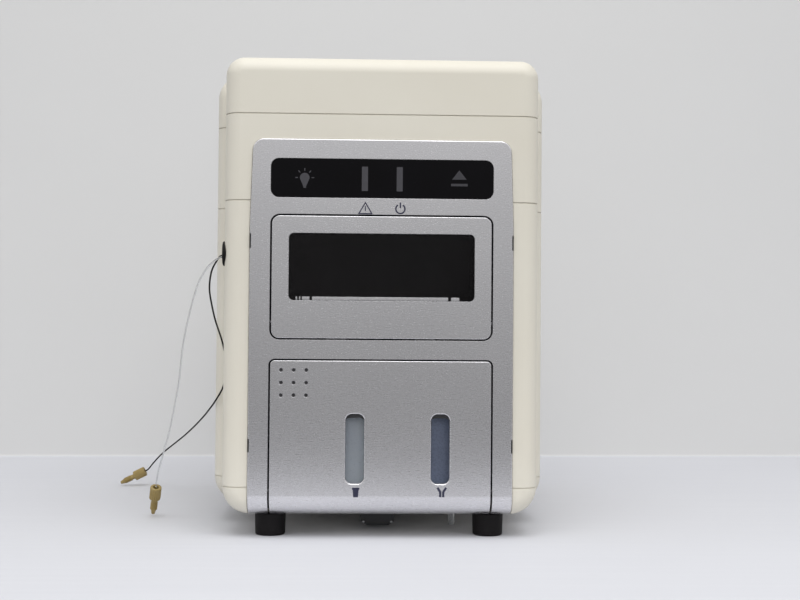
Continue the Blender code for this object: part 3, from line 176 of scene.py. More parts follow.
# Each finish: colour, second tone, scale of patches, scale of grain, roughness, bump, and more
finishFacts = {
    "cream_plastic": ((216, 212, 200), (211, 206, 193), 7, 1700, 0.46, 0.10,
                      {"fleck": 0.05, "cells": 1500}),
    "silver_paint": ((224, 223, 226), (220, 219, 222), 9, 2600, 0.27, 0.0015,
                     {"roughSpread": 0.01, "metal": 0.94, "fleck": 0.015, "stretch": (0.04, 1, 1)}),
    "black_plastic": ((30, 30, 32), (25, 25, 26), 40, 1900, 0.42, 0.14, {}),
    "black_gloss": ((11, 10, 13), (9, 8, 10), 30, 350, 0.07, 0.01,
                    {"roughSpread": 0.02, "specular": 0.1}),
    "black_rubber": ((19, 17, 18), (16, 14, 15), 60, 1500, 0.66, 0.22,
                     {"roughSpread": 0.08, "specular": 0.2}),
    "bright_steel": ((196, 197, 200), (184, 185, 189), 25, 900, 0.28, 0.05,
                     {"metal": 1.0, "stretch": (0.05, 1, 1)}),
    "black_sheet": ((46, 46, 48), (41, 41, 43), 18, 1400, 0.5, 0.2, {}),
    "machined_alloy": ((203, 204, 207), (193, 194, 197), 20, 1100, 0.3, 0.08,
                       {"metal": 1.0, "stretch": (1, 0.06, 1)}),
    "tan_polymer": ((156, 136, 84), (144, 124, 74), 90, 1300, 0.42, 0.08, {}),
    "green_board": ((26, 92, 56), (21, 80, 48), 120, 800, 0.36, 0.10, {"coat": 0.3}),
    "tinted_window": ((31, 28, 30), (27, 25, 27), 12, 300, 0.05, 0.01,
                      {"roughSpread": 0.02, "clear": 0.75, "bend": 1.17}),
    "milky_bottle": ((237, 246, 255), (231, 241, 255), 30, 700, 0.30, 0.08, {"clear": 0.05}),
    "blue_bottle": ((160, 172, 201), (154, 166, 195), 30, 700, 0.28, 0.08, {"clear": 0.08}),
    "clear_polymer": ((236, 238, 240), (229, 231, 234), 60, 900, 0.12, 0.02, {"clear": 0.85}),
}
finishes = {slot: mixFinish(slot, *row, **more) for slot, (*row, more) in finishFacts.items()}
report("finishes mixed")

# Bench and wall, one sheet that shows only from its front side
stageFacts = {"wallY": 0.510, "wallSlant": 0.042, "fillet": 0.004, "reach": 4.0,
              "nearReach": 0.53, "wallTop": 3.0, "wallStart": 5, "looks": {
                  "benchTop": ((208, 209, 214), 120, {"stretch": (0.03, 1, 1)}),
                  "wallPaint": ((210, 210, 210), 180, {"fleck": 0.01})}}


def stageFinish(name, colour, grain, more):
    material = mixFinish(name, colour, darker(colour, 2), 1.5, grain, 0.75, 0.02, specular=0.2,
                         **more)
    tree = material.node_tree
    pick = addNode(tree, "ShaderNodeMixShader", {
        0: addNode(tree, "ShaderNodeNewGeometry").outputs["Backfacing"],
        1: tree.nodes["Principled BSDF"], 2: addNode(tree, "ShaderNodeBsdfTransparent")})
    setInputs(tree, tree.nodes["Material Output"], {"Surface": pick})
    return material


def buildStage(wallY, wallSlant, fillet, reach, nearReach, wallTop, wallStart, looks):
    profile = [(-nearReach, 0.0), (wallY - fillet, 0.0),
               *((wallY - fillet * u, fillet * v) for u, v in ease(8, 1)), (wallY, wallTop)]
    work = bmesh.new()
    left, right = ([work.verts.new((x, y + wallSlant * x * (y > 0), z)) for y, z in profile]
                   for x in (-reach, reach))
    for index in range(len(profile) - 1):
        face = work.faces.new((left[index], right[index], right[index + 1], left[index + 1]))
        face.smooth = True
        face.material_index = int(index >= wallStart)
    mesh = bpy.data.meshes.new("benchAndWall")
    work.to_mesh(mesh)
    work.free()
    for name, look in looks.items():
        mesh.materials.append(stageFinish(name, *look))
    putObject("benchAndWall", mesh)


buildStage(**stageFacts)

lampFacts = {
    "overheadLamp": {"place": (0.12, -1.0, 1.85), "aim": (0, -0.05, 0.2), "size": 1.6,
                     "power": 18.5, "gloss": True},
    "frontLamp": {"place": (0, -2.5, 0.4), "aim": (0, 0, 0.2), "size": 0.6, "power": 7.5,
                  "gloss": False},
}
worldFacts = {"ceiling": 1.05, "floor": 0.12, "depth": -0.14, "height": 0.45, "seenLevel": 0.78}


def buildLamp(name, place, aim, size, power, gloss):
    lamp = bpy.data.lights.new(name, "AREA")
    lamp.shape = "DISK"
    lamp.size = size
    lamp.energy = power
    holder = putObject(name, lamp)
    holder.location = place
    holder.visible_glossy = gloss
    way = Vector(aim) - Vector(place)
    holder.rotation_euler = way.to_track_quat("-Z", "Y").to_euler()


# Light that grows from floor to ceiling; the camera sees one level
def buildWorld(ceiling, floor, depth, height, seenLevel):
    sky = bpy.data.worlds.new("softRoom")
    sky.use_nodes = True
    scene.world = sky
    tree = sky.node_tree
    way = addNode(tree, "ShaderNodeTexCoord").outputs["Generated"]
    parts = addNode(tree, "ShaderNodeSeparateXYZ", {0: way})
    rise = addNode(tree, "ShaderNodeMapRange", {
        "Value": parts.outputs["Z"], "From Min": depth, "From Max": height, "To Min": floor,
        "To Max": ceiling})
    room = tree.nodes["Background"]
    setInputs(tree, room, {"Color": (1, 1, 1, 1), "Strength": rise})
    shown = addNode(tree, "ShaderNodeBackground", {"Strength": seenLevel})
    rays = addNode(tree, "ShaderNodeLightPath").outputs["Is Camera Ray"]
    pick = addNode(tree, "ShaderNodeMixShader", {0: rays, 1: room, 2: shown})
    setInputs(tree, tree.nodes["World Output"], {"Surface": pick})


for name, facts in lampFacts.items():
    buildLamp(name, **facts)
buildWorld(**worldFacts)
report("bench and light ready")


# Mesh tools
def linkMesh(name, work):
    mesh = bpy.data.meshes.new(name)
    bmesh.ops.remove_doubles(work, verts=work.verts, dist=hair / 4)
    bmesh.ops.recalc_face_normals(work, faces=work.faces)
    work.to_mesh(mesh)
    work.free()
    return putObject(name, mesh)


# Corner points of an outline, each corner rounded by its own radius
def roundedOutline(corners, steps=8):
    points = []
    for index, (u, v, radius) in enumerate(corners):
        corner = Vector((u, v))
        if radius <= 0:
            points.append(corner)
            continue
        before = (Vector(corners[index - 1][:2]) - corner).normalized()
        after = (Vector(corners[(index + 1) % len(corners)][:2]) - corner).normalized()
        half = before.angle(after) / 2
        centre = corner + (before + after).normalized() * (radius / math.sin(half))
        start = corner + before * (radius / math.tan(half)) - centre
        sweep = start.angle_signed(corner + after * (radius / math.tan(half)) - centre)
        for step in range(steps + 1):
            turned = start.copy()
            turned.rotate(Matrix.Rotation(-sweep * step / steps, 2))
            points.append(centre + turned)
    return points


def rectangle(uLow, uHigh, vLow, vHigh, radius, steps=8, topRadius=None):
    top = radius if topRadius is None else topRadius
    return roundedOutline([(uLow, vLow, radius), (uHigh, vLow, radius), (uHigh, vHigh, top),
                           (uLow, vHigh, top)], steps)


def atLevel(outline, level, axis="Y"):
    return [{"X": (level, u, v), "Y": (u, level, v), "Z": (u, v, level)}[axis] for u, v in outline]


def bridge(work, one, two):
    for index in range(len(one)):
        after = (index + 1) % len(one)
        work.faces.new((one[index], one[after], two[after], two[index]))


# A form through rings of equal point count, with two ends or, where it closes on itself, none
def ringForm(rings, name="form", closed=False):
    work = bmesh.new()
    rows = [[work.verts.new(point) for point in ring] for ring in rings]
    for one, two in zip(rows, rows[1:]):
        bridge(work, one, two)
    if closed:
        bridge(work, rows[-1], rows[0])
    else:
        work.faces.new(reversed(rows[0]))
        work.faces.new(rows[-1])
    return linkMesh(name, work)


def prism(outline, low, high, axis="Y", name="form"):
    return ringForm([atLevel(outline, low, axis), atLevel(outline, high, axis)], name)


def block(low, high):
    return prism([low[:2], (high[0], low[1]), high[:2], (low[0], high[1])], low[2], high[2], "Z")


# A block between two distances from the middle, on one side of it
def sideBlock(side, reach, y, z):
    low, high = sorted(side * distance for distance in reach)
    return block((low, y[0], z[0]), (high, y[1], z[1]))


# A flat outline with round corners, whose half, low, high and radius all grow by one amount
def plateOutline(facts, grow, steps=8, centre=0.0):
    half = facts["half"] + grow
    return rectangle(centre - half, centre + half, facts["low"] - grow, facts["high"] + grow,
                     facts["radius"] + grow, steps)


def plate(facts, grow, start, end, steps=8, centre=0.0):
    return prism(plateOutline(facts, grow, steps, centre), start, end)


# A form turned about an axis from (radius, level) points; it starts and ends on the axis
def turned(profile, base, axis=(0, 0, 1), steps=48, name="form"):
    place = Matrix.Translation(base) @ Vector(axis).to_track_quat("Z", "Y").to_matrix().to_4x4()
    work = bmesh.new()
    rows = []
    for radius, level in profile:
        count, reach = (steps, radius) if radius > hair else (1, 0)
        turns = [math.tau * step / count for step in range(count)]
        rows.append([work.verts.new(place @ Vector((reach * math.cos(turn),
                                                    reach * math.sin(turn), level)))
                     for turn in turns])
    for one, two in zip(rows, rows[1:]):
        if len(one) == len(two) == steps:
            bridge(work, one, two)
        elif len(one) != len(two):
            for index in range(steps):
                after = (index + 1) % steps
                work.faces.new((one[0], two[after], two[index]) if len(one) == 1 else
                               (one[index], one[after], two[0]))
    return linkMesh(name, work)


def rod(base, axis, length, radius, edge=0.0002, steps=32):
    return turned([(0, 0), (radius - edge, 0), (radius, edge), (radius, length - edge),
                   (radius - edge, length), (0, length)], base, axis, steps)


# A rod with sharp ends, as a cutting tool
def drill(radius, length, base, axis=(0, 0, 1), steps=48):
    return turned([(0, 0), (radius, 0), (radius, length), (0, length)], base, axis, steps)


# A collar round a tube or rod, sunk a little into what it stands on
def collar(inner, outer, rise, base, axis, edge, dip, sink, steps):
    return turned([(0, -sink), (outer, -sink), (outer, rise - edge[1]), (outer - edge[0], rise),
                   (inner + 0.0002, rise), (inner, rise - dip), (inner, -0.0002), (0, -0.0002)],
                  base, axis, steps)


# What the modifiers make becomes the mesh
def settle(holder):
    bpy.context.view_layer.update()
    graph = bpy.context.evaluated_depsgraph_get()
    mesh = bpy.data.meshes.new_from_object(holder.evaluated_get(graph),
                                           preserve_all_data_layers=True, depsgraph=graph)
    holder.modifiers.clear()
    holder.data = mesh
    return holder


# Booleans are settled at once, and the tools are removed
def carve(target, *tools, operation="DIFFERENCE"):
    for tool in tools:
        modifier = target.modifiers.new("carve", "BOOLEAN")
        modifier.operation = operation
        modifier.solver = "EXACT"
        modifier.object = tool
        settle(target)
        bpy.data.objects.remove(tool, do_unlink=True)
    return target


def unite(target, *tools):
    return carve(target, *tools, operation="UNION")


def join(target, *others):
    work = bmesh.new()
    for holder in (target, *others):
        work.from_mesh(holder.data)
    work.to_mesh(target.data)
    work.free()
    for holder in others:
        bpy.data.objects.remove(holder, do_unlink=True)
    return target


def weld(holder, flat):
    work = bmesh.new()
    work.from_mesh(holder.data)
    bmesh.ops.remove_doubles(work, verts=work.verts, dist=hair / 2)
    bmesh.ops.dissolve_degenerate(work, edges=work.edges, dist=hair / 2)
    if flat:
        bmesh.ops.dissolve_limit(work, angle_limit=math.radians(flat), verts=work.verts,
                                 edges=work.edges)
    work.to_mesh(holder.data)
    work.free()


# Rounds sharp edges at once, so that later cuts leave them alone
def roundEdges(holder, width, segments=4, angle=32):
    weld(holder, 0.2)
    bevel = holder.modifiers.new("edges", "BEVEL")
    bevel.width = width
    bevel.segments = segments
    bevel.limit_method = "ANGLE"
    bevel.angle_limit = math.radians(angle)
    bevel.use_clamp_overlap = False
    bevel.miter_outer = "MITER_ARC"
    return settle(holder)


def snake(name):
    return "".join("_" + letter.lower() if letter.isupper() else letter for letter in name)


def camel(*words):
    first, *others = "_".join(words).split("_")
    return first + "".join(word.capitalize() for word in others)


# Evens a piece's shading and gives it its finish. A piece that is named for a CAD node replaces
# it, and rides on its body
def finish(holder, name, slot, edge=0.0, segments=2, angle=32, flat=0.2, body="housing",
           look=None, node=None):
    if edge:
        roundEdges(holder, edge, segments, angle)
    else:
        weld(holder, flat)
    holder.name = name
    holder.data.shade_smooth()
    holder.data.set_sharp_from_angle(angle=math.radians(angle))
    weigh = holder.modifiers.new("evenShade", "WEIGHTED_NORMAL")
    weigh.keep_sharp = True
    weigh.mode = "FACE_AREA"
    mesh = settle(holder).data
    mesh.name = name
    mesh.materials.clear()
    mesh.materials.append(look or finishes[slot])
    node = node or snake(name)
    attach(holder, cadNodes[node]["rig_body"] if node in cadNodes else body)
    if node in cadNodes:
        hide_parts(node)
    return holder


# Geometry Nodes: trees with named inputs, each ending in Realize Instances and Set Material
def copyTree(name, spread, **sockets):
    tree = bpy.data.node_groups.new(name, "GeometryNodeTree")
    for label, kind in {"Geometry": "Geometry", **sockets, "Finish": "Material"}.items():
        tree.interface.new_socket(name=label, in_out="INPUT", socket_type="NodeSocket" + kind)
    tree.interface.new_socket(name="Geometry", in_out="OUTPUT", socket_type="NodeSocketGeometry")
    given = tree.nodes.new("NodeGroupInput").outputs
    copies = addNode(tree, "GeometryNodeInstanceOnPoints", spread(tree, given))
    real = addNode(tree, "GeometryNodeRealizeInstances", {"Geometry": copies})
    paint = addNode(tree, "GeometryNodeSetMaterial", {"Geometry": real,
                                                      "Material": given["Finish"]})
    addNode(tree, "NodeGroupOutput", {"Geometry": paint})
    return tree


def givenPart(tree, given):
    return addNode(tree, "GeometryNodeObjectInfo", {"Object": given["Part"]}).outputs["Geometry"]


# Copies of a part round the Z axis, each with its X axis outwards
def ringSpread(tree, given):
    circle = addNode(tree, "GeometryNodeMeshCircle", {"Vertices": given["Count"],
                                                      "Radius": given["Radius"]})
    spot = addNode(tree, "GeometryNodeInputPosition")
    turn = addNode(tree, "FunctionNodeAlignRotationToVector", {"Vector": spot}, axis="X")
    return {"Points": circle, "Instance": givenPart(tree, given), "Rotation": turn}


# Copies of a part on each point of the mesh that carries the tree
def pointSpread(tree, given):
    return {"Points": given["Geometry"], "Instance": givenPart(tree, given),
            "Scale": given["Size"]}


# Blocks of random size on a thinned grid in the XY plane, standing on it
def chipSpread(tree, given):
    grid = addNode(tree, "GeometryNodeMeshGrid", {
        "Size X": given["Length"], "Size Y": given["Width"], "Vertices X": given["Columns"],
        "Vertices Y": given["Rows"]})
    chance, size = (addNode(tree, "FunctionNodeRandomValue", data_type=kind)
                    for kind in ("BOOLEAN", "FLOAT_VECTOR"))
    setInputs(tree, chance, {"Probability": given["Share"], "Seed": given["Seed"]})
    setInputs(tree, size, {0: given["Smallest"], 1: given["Largest"], "Seed": given["Seed"]})
    chip = addNode(tree, "GeometryNodeMeshCube", {"Size": (1, 1, 1)})
    lift = addNode(tree, "GeometryNodeTransform", {"Geometry": chip, "Translation": (0, 0, 0.5)})
    return {"Points": grid, "Instance": lift, "Selection": chance.outputs[3], "Scale": size}


trees = {
    "ring": copyTree("partsInRing", ringSpread, Count="Int", Radius="Float", Part="Object"),
    "points": copyTree("partsOnPoints", pointSpread, Part="Object", Size="Float"),
    "chips": copyTree("boardChips", chipSpread, Length="Float", Width="Float", Columns="Int",
                      Rows="Int", Smallest="Vector", Largest="Vector", Share="Float", Seed="Int"),
}


# Runs a tree on a carrier mesh, and turns what it makes into a plain mesh at its place
def growTree(tree, name, slot, place=Matrix(), carrier=None, **given):
    holder = carrier or linkMesh(name, bmesh.new())
    modifier = holder.modifiers.new(name, "NODES")
    modifier.node_group = trees[tree]
    given["Finish"] = finishes[slot]
    for socket in trees[tree].interface.items_tree:
        if socket.in_out == "INPUT" and socket.name in given:
            modifier[socket.identifier] = given[socket.name]
    settle(holder)
    holder.data.transform(place)
    if "Part" in given:
        bpy.data.objects.remove(given["Part"], do_unlink=True)
    return holder


# Tubes: the routes are the CAD's own, 1/16 inch, on one smooth curve each
tubeFacts = {"radius": 0.0008, "steps": 24, "spacing": 0.0030}
blackRoute = (
    (-0.1411, -0.1775, 0.2480), (-0.1442, -0.1774, 0.2466), (-0.1476, -0.1745, 0.2420),
    (-0.1517, -0.1680, 0.2355), (-0.1548, -0.1570, 0.2266), (-0.1562, -0.1470, 0.2170),
    (-0.1549, -0.1420, 0.2059), (-0.1513, -0.1410, 0.1902), (-0.1446, -0.1388, 0.1691),
    (-0.1414, -0.1350, 0.1480), (-0.1448, -0.1262, 0.1296), (-0.1537, -0.1120, 0.1148),
    (-0.1622, -0.0880, 0.1051), (-0.1711, -0.0550, 0.0964), (-0.1877, 0.0050, 0.0819),
    (-0.2053, 0.0620, 0.0676), (-0.2221, 0.1080, 0.0549), (-0.2370, 0.1380, 0.0436),
    (-0.2471, 0.1535, 0.0347), (-0.2560, 0.1640, 0.0252), (-0.2611, 0.1677, 0.0190),
    (-0.2643, 0.1683, 0.0171))
clearRoute = (
    (-0.1411, -0.1815, 0.2465), (-0.1442, -0.1815, 0.2454), (-0.1480, -0.1808, 0.2430),
    (-0.1547, -0.1760, 0.2373), (-0.1630, -0.1650, 0.2263), (-0.1678, -0.1560, 0.2164),
    (-0.1757, -0.1400, 0.1940), (-0.1838, -0.1180, 0.1668), (-0.1886, -0.1060, 0.1345),
    (-0.1932, -0.0980, 0.1120), (-0.1991, -0.0930, 0.0843), (-0.2024, -0.0920, 0.0726),
    (-0.2045, -0.0915, 0.0642), (-0.2076, -0.0900, 0.0535), (-0.2100, -0.0872, 0.0450),
    (-0.2119, -0.0828, 0.0372), (-0.2132, -0.0790, 0.0300))
cordFacts = {
    "blackTube": {"route": blackRoute, "tip": (-0.2953, 0.1682, 0.0018), "length": 0.4882,
                  "slot": "black_rubber"},
    "clearTube": {"route": clearRoute, "tip": (-0.2182, -0.0646, 0.0018), "length": 0.2612,
                  "slot": "clear_polymer"},
}
nutFacts = {"radius": 0.0054, "head": 0.0135, "waist": 0.0028, "thread": 0.0034, "cone": 0.0017,
            "length": 0.031, "threadStart": 0.56, "threadEnd": 0.86, "edge": 0.0009,
            "flutes": 18, "fluteDepth": 0.00045, "levels": 14, "pitch": 0.00105, "bore": 0.0028,
            "depth": 0.006, "gap": 0.0003}


# Points at even spacing on one smooth curve through the route
def smoothPath(route, steps, spacing):
    points = [Vector(point) for point in route]
    padded = [2 * points[0] - points[1], *points, 2 * points[-1] - points[-2]]
    fine = []
    for index in range(len(points) - 1):
        before, start, end, after = padded[index:index + 4]
        for t in (step / steps for step in range(steps)):
            fine.append((2 * start + (end - before) * t
                         + (2 * before - 5 * start + 4 * end - after) * t ** 2
                         + (3 * start - before - 3 * end + after) * t ** 3) / 2)
    fine.append(points[-1])
    length = sum((two - one).length for one, two in zip(fine, fine[1:]))
    count = round(length / spacing)
    marks = [length * index / count for index in range(1, count)]
    even = [fine[0]]
    walked = 0
    for one, two in zip(fine, fine[1:]):
        run = (two - one).length
        while marks and walked + run >= marks[0]:
            even.append(one.lerp(two, (marks.pop(0) - walked) / run))
        walked += run
    return [*even, fine[-1]]


def buildTube(name, route, radius, steps, spacing):
    points = smoothPath(route, steps, spacing)
    curve = bpy.data.curves.new(name, "CURVE")
    curve.dimensions = "3D"
    curve.bevel_depth = radius
    curve.bevel_resolution = 4
    curve.use_fill_caps = True
    spline = curve.splines.new("POLY")
    spline.points.add(len(points) - 1)
    for target, point in zip(spline.points, points):
        target.co = (*point, 1)
    spline.use_smooth = True
    return putObject(name, curve)


# Fluted head, slim waist, cut thread and sealing cone, turned about the nut's own axis
def buildNut(name, route, tip, radius, head, waist, thread, cone, length, threadStart, threadEnd,
             edge, flutes, fluteDepth, levels, pitch, bore, depth, gap):
    level, threadEnd = length * threadStart, length * threadEnd
    profile = [(0, depth), (bore * 0.5, depth), (bore, depth * 0.8), (bore, edge * 0.4),
               (bore + edge * 0.4, 0), *((radius - edge * u, edge * v) for u, v in ease(4)),
               *((radius, edge + (head - 2 * edge) * step / levels) for step in range(1, levels)),
               *((radius - edge * v, head - edge * u) for u, v in ease(4)),
               (waist + edge, head), (waist, head + edge), (waist, level - edge * 0.3)]
    while level + pitch <= threadEnd:
        profile += [(thread - pitch * 0.45, level), (thread, level + pitch * 0.35),
                    (thread, level + pitch * 0.6)]
        level += pitch
    profile += [(thread - pitch * 0.5, level), (waist * 0.82, threadEnd + edge),
                (cone, length - edge * 0.3), (cone - edge * 0.3, length), (0, length)]
    nut = turned(profile, (0, 0, 0), steps=flutes * 6, name=name)
    for vertex in nut.data.vertices:
        x, y, z = vertex.co
        reach = math.hypot(x, y)
        if reach > radius - edge * 0.9 and edge * 0.5 < z < head - edge * 0.4:
            wave = max(0, math.cos(flutes * math.atan2(y, x)))
            share = (reach - fluteDepth * wave) / reach
            vertex.co = (x * share, y * share, z)
    start = Vector(route[-1])
    way = (Vector(tip) - start).normalized()
    nut.data.transform(Matrix.Translation(start + way * gap)
                       @ way.to_track_quat("Z", "Y").to_matrix().to_4x4())
    return nut


for name, facts in cordFacts.items():
    nut = buildNut(name + "Nut", facts["route"], facts["tip"], **nutFacts)
    finish(nut, name + "Nut", "tan_polymer", angle=38, flat=0)
    tube = buildTube(name, facts["route"], **tubeFacts)
    tube.data.materials.append(finishes[facts["slot"]])
    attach(tube, "housing")
    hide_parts(snake(name))
    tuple(facts["route"][0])
report("tubes laid")

# Housing: a narrow front module that steps out to a wider rear module
housingFacts = {
    "wall": 0.003, "bottom": 0.020, "top": 0.424, "bottomRadius": 0.024, "seamGap": 0.0009,
    "seams": (0.0445, 0.2957, 0.3722), "corner": 12, "rim": 10, "edge": 0.00035,
    "lip": (0.00305, 0.0012), "tongue": (0.0010, 0.0018), "lipReach": 0.003, "lipEnd": 0.193,
    "front": {"half": 0.139, "topRadius": 0.0165, "rimRadius": 0.0145, "start": -0.197,
              "end": 0.02, "lower": 0.0002, "shoulder": 0.0165},
    "rear": {"half": 0.1545, "topRadius": 0.030, "rimRadius": 0.0135, "start": -0.114,
             "end": 0.200, "lower": 0.0, "shoulder": 0.0228, "back": 0.003},
}
fasciaFacts = {
    "half": 0.1157, "topHalf": 0.1133, "taperStart": 0.272, "top": 0.3497, "topRadius": 0.010,
    "front": -0.200, "thickness": 0.003, "roll": 0.018, "lip": 0.002, "edge": 0.0009,
    "gap": 0.0004, "doorGap": 0.0014, "rollSteps": 14, "fine": 0.00025,
}
doorFacts = {
    "plate": {"half": 0.0964, "low": 0.175, "high": 0.2822, "radius": 0.007, "back": -0.194,
              "pinHeight": 0.189, "pinY": -0.197, "lugBack": -0.1915},
    "bottle": {"half": 0.0968, "low": 0.010, "high": 0.1555, "radius": 0.004,
               "pinHeight": 0.0414, "pinY": -0.1945, "lugBack": -0.1905},
}
# How far the cutting tools reach past the body
wide, ahead, behind, above, face = 0.17, -0.22, 0.23, 0.44, -0.21
front, bottom = fasciaFacts["front"], housingFacts["bottom"]


def moduleForm(inset, half, topRadius, rimRadius, start, end, lower, shoulder, back=0):
    half -= inset
    low, high = bottom + inset + lower, housingFacts["top"] - inset - lower

    def ring(extra, level):
        share = min((level - start) / (end - start), 1)
        top = shoulder + (topRadius - shoulder) * share
        return atLevel(rectangle(
            -half + extra, half - extra, low + extra, high - extra,
            housingFacts["bottomRadius"] - extra - inset, housingFacts["corner"],
            top - extra - inset), level)

    radius = rimRadius - inset
    rings = [ring(radius * u, start + inset + radius * v) for u, v in ease(housingFacts["rim"])]
    if inset or not back:
        rings.append(ring(0, end + inset * 4))
    else:
        rings += [ring(back * v, end - back * u) for u, v in ease(4)]
    return ringForm(rings)


def shellForm(inset, thickness):
    shell, rear, *inner = (moduleForm(depth, **housingFacts[part])
                           for depth in (inset, inset + thickness) for part in ("front", "rear"))
    return carve(unite(shell, rear), *inner)


def bandOf(shell, low, high, span, yHigh=behind):
    return carve(putObject("band", shell.data.copy()),
                 block((span[0], ahead, low), (span[1], yHigh, high)), operation="INTERSECT")


def fasciaOutline(facts, grow, low=0.0):
    half, topHalf, top = (facts[key] + grow for key in ("half", "topHalf", "top"))
    radius, taper = facts["topRadius"] + grow, facts["taperStart"]
    return roundedOutline([(-half, low, 0), (half, low, 0), (half, taper, 0),
                           (topHalf, top, radius), (-topHalf, top, radius), (-half, taper, 0)], 10)


# The sheet of the fascia and the bottle door seen from the side, rolled in under the body
def bentSheet(facts):
    inner, roll, top = facts["thickness"], facts["roll"], facts["top"] + 0.01
    end = front + roll + facts["lip"]
    return prism(roundedOutline([
        (front, top, 0), (front, bottom, roll), (end, bottom, 0), (end, bottom + inner, 0),
        (front + inner, bottom + inner, roll - inner), (front + inner, top, 0)],
        facts["rollSteps"]), -wide, wide, "X")


# The room that the fascia and the bottle door take out of the housing
def openingTools(fascia, door, seam):
    gap, low = fascia["gap"], bottom - 0.01
    blocks = ((fascia["half"] + gap, front + fascia["roll"] + fascia["lip"] + gap),
              (door["half"] + fascia["doorGap"], front + 0.0255))
    return [prism(fasciaOutline(fascia, gap, -0.01), front - 0.01, -0.1825),
            *(block((-half, front - 0.01, low), (half, back, seam)) for half, back in blocks)]


# The gland's hole in the left panel and the foot studs' holes in the pan
holeFacts = {"gland": (-0.1795, 0.2493), "half": (0.0048, 0.0088), "span": (-0.149, -0.129),
             "feet": {"front": -0.170, "rear": 0.154}, "footX": 0.0972, "stud": 0.0032,
             "studBase": 0.0185, "studReach": 0.01}


def oval(half, span, steps=8):
    y, z = holeFacts["gland"]
    u, v = half
    return prism(rectangle(y - u, y + u, z - v, z + v, u * 0.98, steps), *span, "X")


def buildHousing(facts, holes):
    shell, lip, tongue = (shellForm(*depths) for depths in (
        (0, facts["wall"]), facts["lip"], facts["tongue"]))
    gap, reach, back = facts["seamGap"], facts["lipReach"], facts["lipEnd"]
    half = gap / 2
    low, middle, high = facts["seams"]
    both = (-wide, wide)
    for name, start, end, span, seam in (
            ("topCover", high + half, above, both, None),
            ("upperShell", middle + half, high - half, both, high),
            ("leftSidePanel", low + half, middle - half, (-wide, 0), middle),
            ("rightSidePanel", low + half, middle - half, (0, wide), middle),
            ("basePan", 0.0, low - half, both, low)):
        bands = [bandOf(shell, start, end, span)]
        if seam:
            bands += [bandOf(lip, seam - reach, seam + reach, span, back),
                      bandOf(tongue, seam - gap, seam + half - 3 * hair, span, back)]
            for band in bands:
                carve(band, *openingTools(fasciaFacts, doorFacts["bottle"], low))
        if name == "leftSidePanel":
            carve(bands[0], oval(holes["half"], holes["span"]))
        if name == "basePan":
            carve(bands[0], *(drill(holes["stud"], holes["studReach"],
                                    (side * holes["footX"], y, holes["studBase"]))
                              for side, word in sides for y in holes["feet"].values()))
        roundEdges(bands[0], facts["edge"], 2)
        finish(join(*bands), name, "cream_plastic")
    for tool in (shell, lip, tongue):
        bpy.data.objects.remove(tool, do_unlink=True)


buildHousing(housingFacts, holeFacts)
report("housing moulded")

# Silver fascia with its pocket, its clips and the lugs of its two doors
hingeFacts = {"bore": 0.00162, "boreLength": 0.016, "boreInset": 0.0073, "lug": 0.0055,
              "lugReach": 0.010, "lugFront": 0.0015, "lugGap": 0.0007}
clipFacts = {"width": 0.0011, "gap": 0.0002, "hook": 0.0016, "span": (-0.1996, -0.191),
             "hookY": -0.1967, "notchBack": -0.187, "edge": 0.00015,
             "places": {"upper": (0.2535, 0.2660), "lower": (0.0755, 0.0868)}}
stripFacts = {"half": 0.0975, "low": 0.2983, "high": 0.3322, "radius": 0.007,
              "span": (-0.1995, -0.1979), "gap": 0.0003, "edge": 0.0003}


def lugs(door, inner, outer):
    half, z, rise = door["half"], door["pinHeight"], hingeFacts["lug"]
    return [sideBlock(side, (half + inner, half + outer),
                      (front + hingeFacts["lugFront"], door["lugBack"]), (z - rise, z + rise))
            for side, word in sides]


def pinBores(door):
    return [drill(hingeFacts["bore"], hingeFacts["boreLength"],
                  (side * (door["half"] - hingeFacts["boreInset"]), door["pinY"],
                   door["pinHeight"]), (side, 0, 0), 24) for side, word in sides]


def buildFascia(facts, strip, clip):
    gap, half = facts["doorGap"], facts["half"]
    fascia = carve(prism(fasciaOutline(facts, 0), front, front + 0.03), bentSheet(facts),
                   operation="INTERSECT")
    roundEdges(fascia, facts["edge"])
    carve(fascia, plate(doorFacts["plate"], gap, face, -0.19),
          plate(doorFacts["bottle"], gap, face, -0.17),
          plate(strip, strip["gap"], face, strip["span"][1] + strip["gap"]))
    for door in doorFacts.values():
        unite(fascia, *lugs(door, gap * 1.5, hingeFacts["lugReach"] + gap))
        carve(fascia, *pinBores(door))
    return carve(fascia, *(sideBlock(side, (half - clip["width"], half + 0.01),
                                     (face, clip["notchBack"]),
                                     (low - clip["gap"], high + clip["gap"]))
                           for side, word in sides for low, high in clip["places"].values()))


def buildClip(side, height, clip, half):
    width, gap, hook, y = clip["width"], clip["gap"], clip["hook"], clip["hookY"]
    return unite(sideBlock(side, (half - width + gap, half - gap / 2), clip["span"], height),
                 sideBlock(side, (half - width - hook, half - width / 2), (y, y + hook), height))


finish(buildFascia(fasciaFacts, stripFacts, clipFacts), "frontFascia", "silver_paint",
       fasciaFacts["fine"])
for side, word in sides:
    for level, height in clipFacts["places"].items():
        finish(buildClip(side, height, clipFacts, fasciaFacts["half"]),
               camel("fascia_clip", level, word), "black_plastic", clipFacts["edge"])
finish(plate(stripFacts, 0, *stripFacts["span"], 10), "statusStrip", "black_gloss",
       stripFacts["edge"], 3, node="status_window")
report("fascia bent")

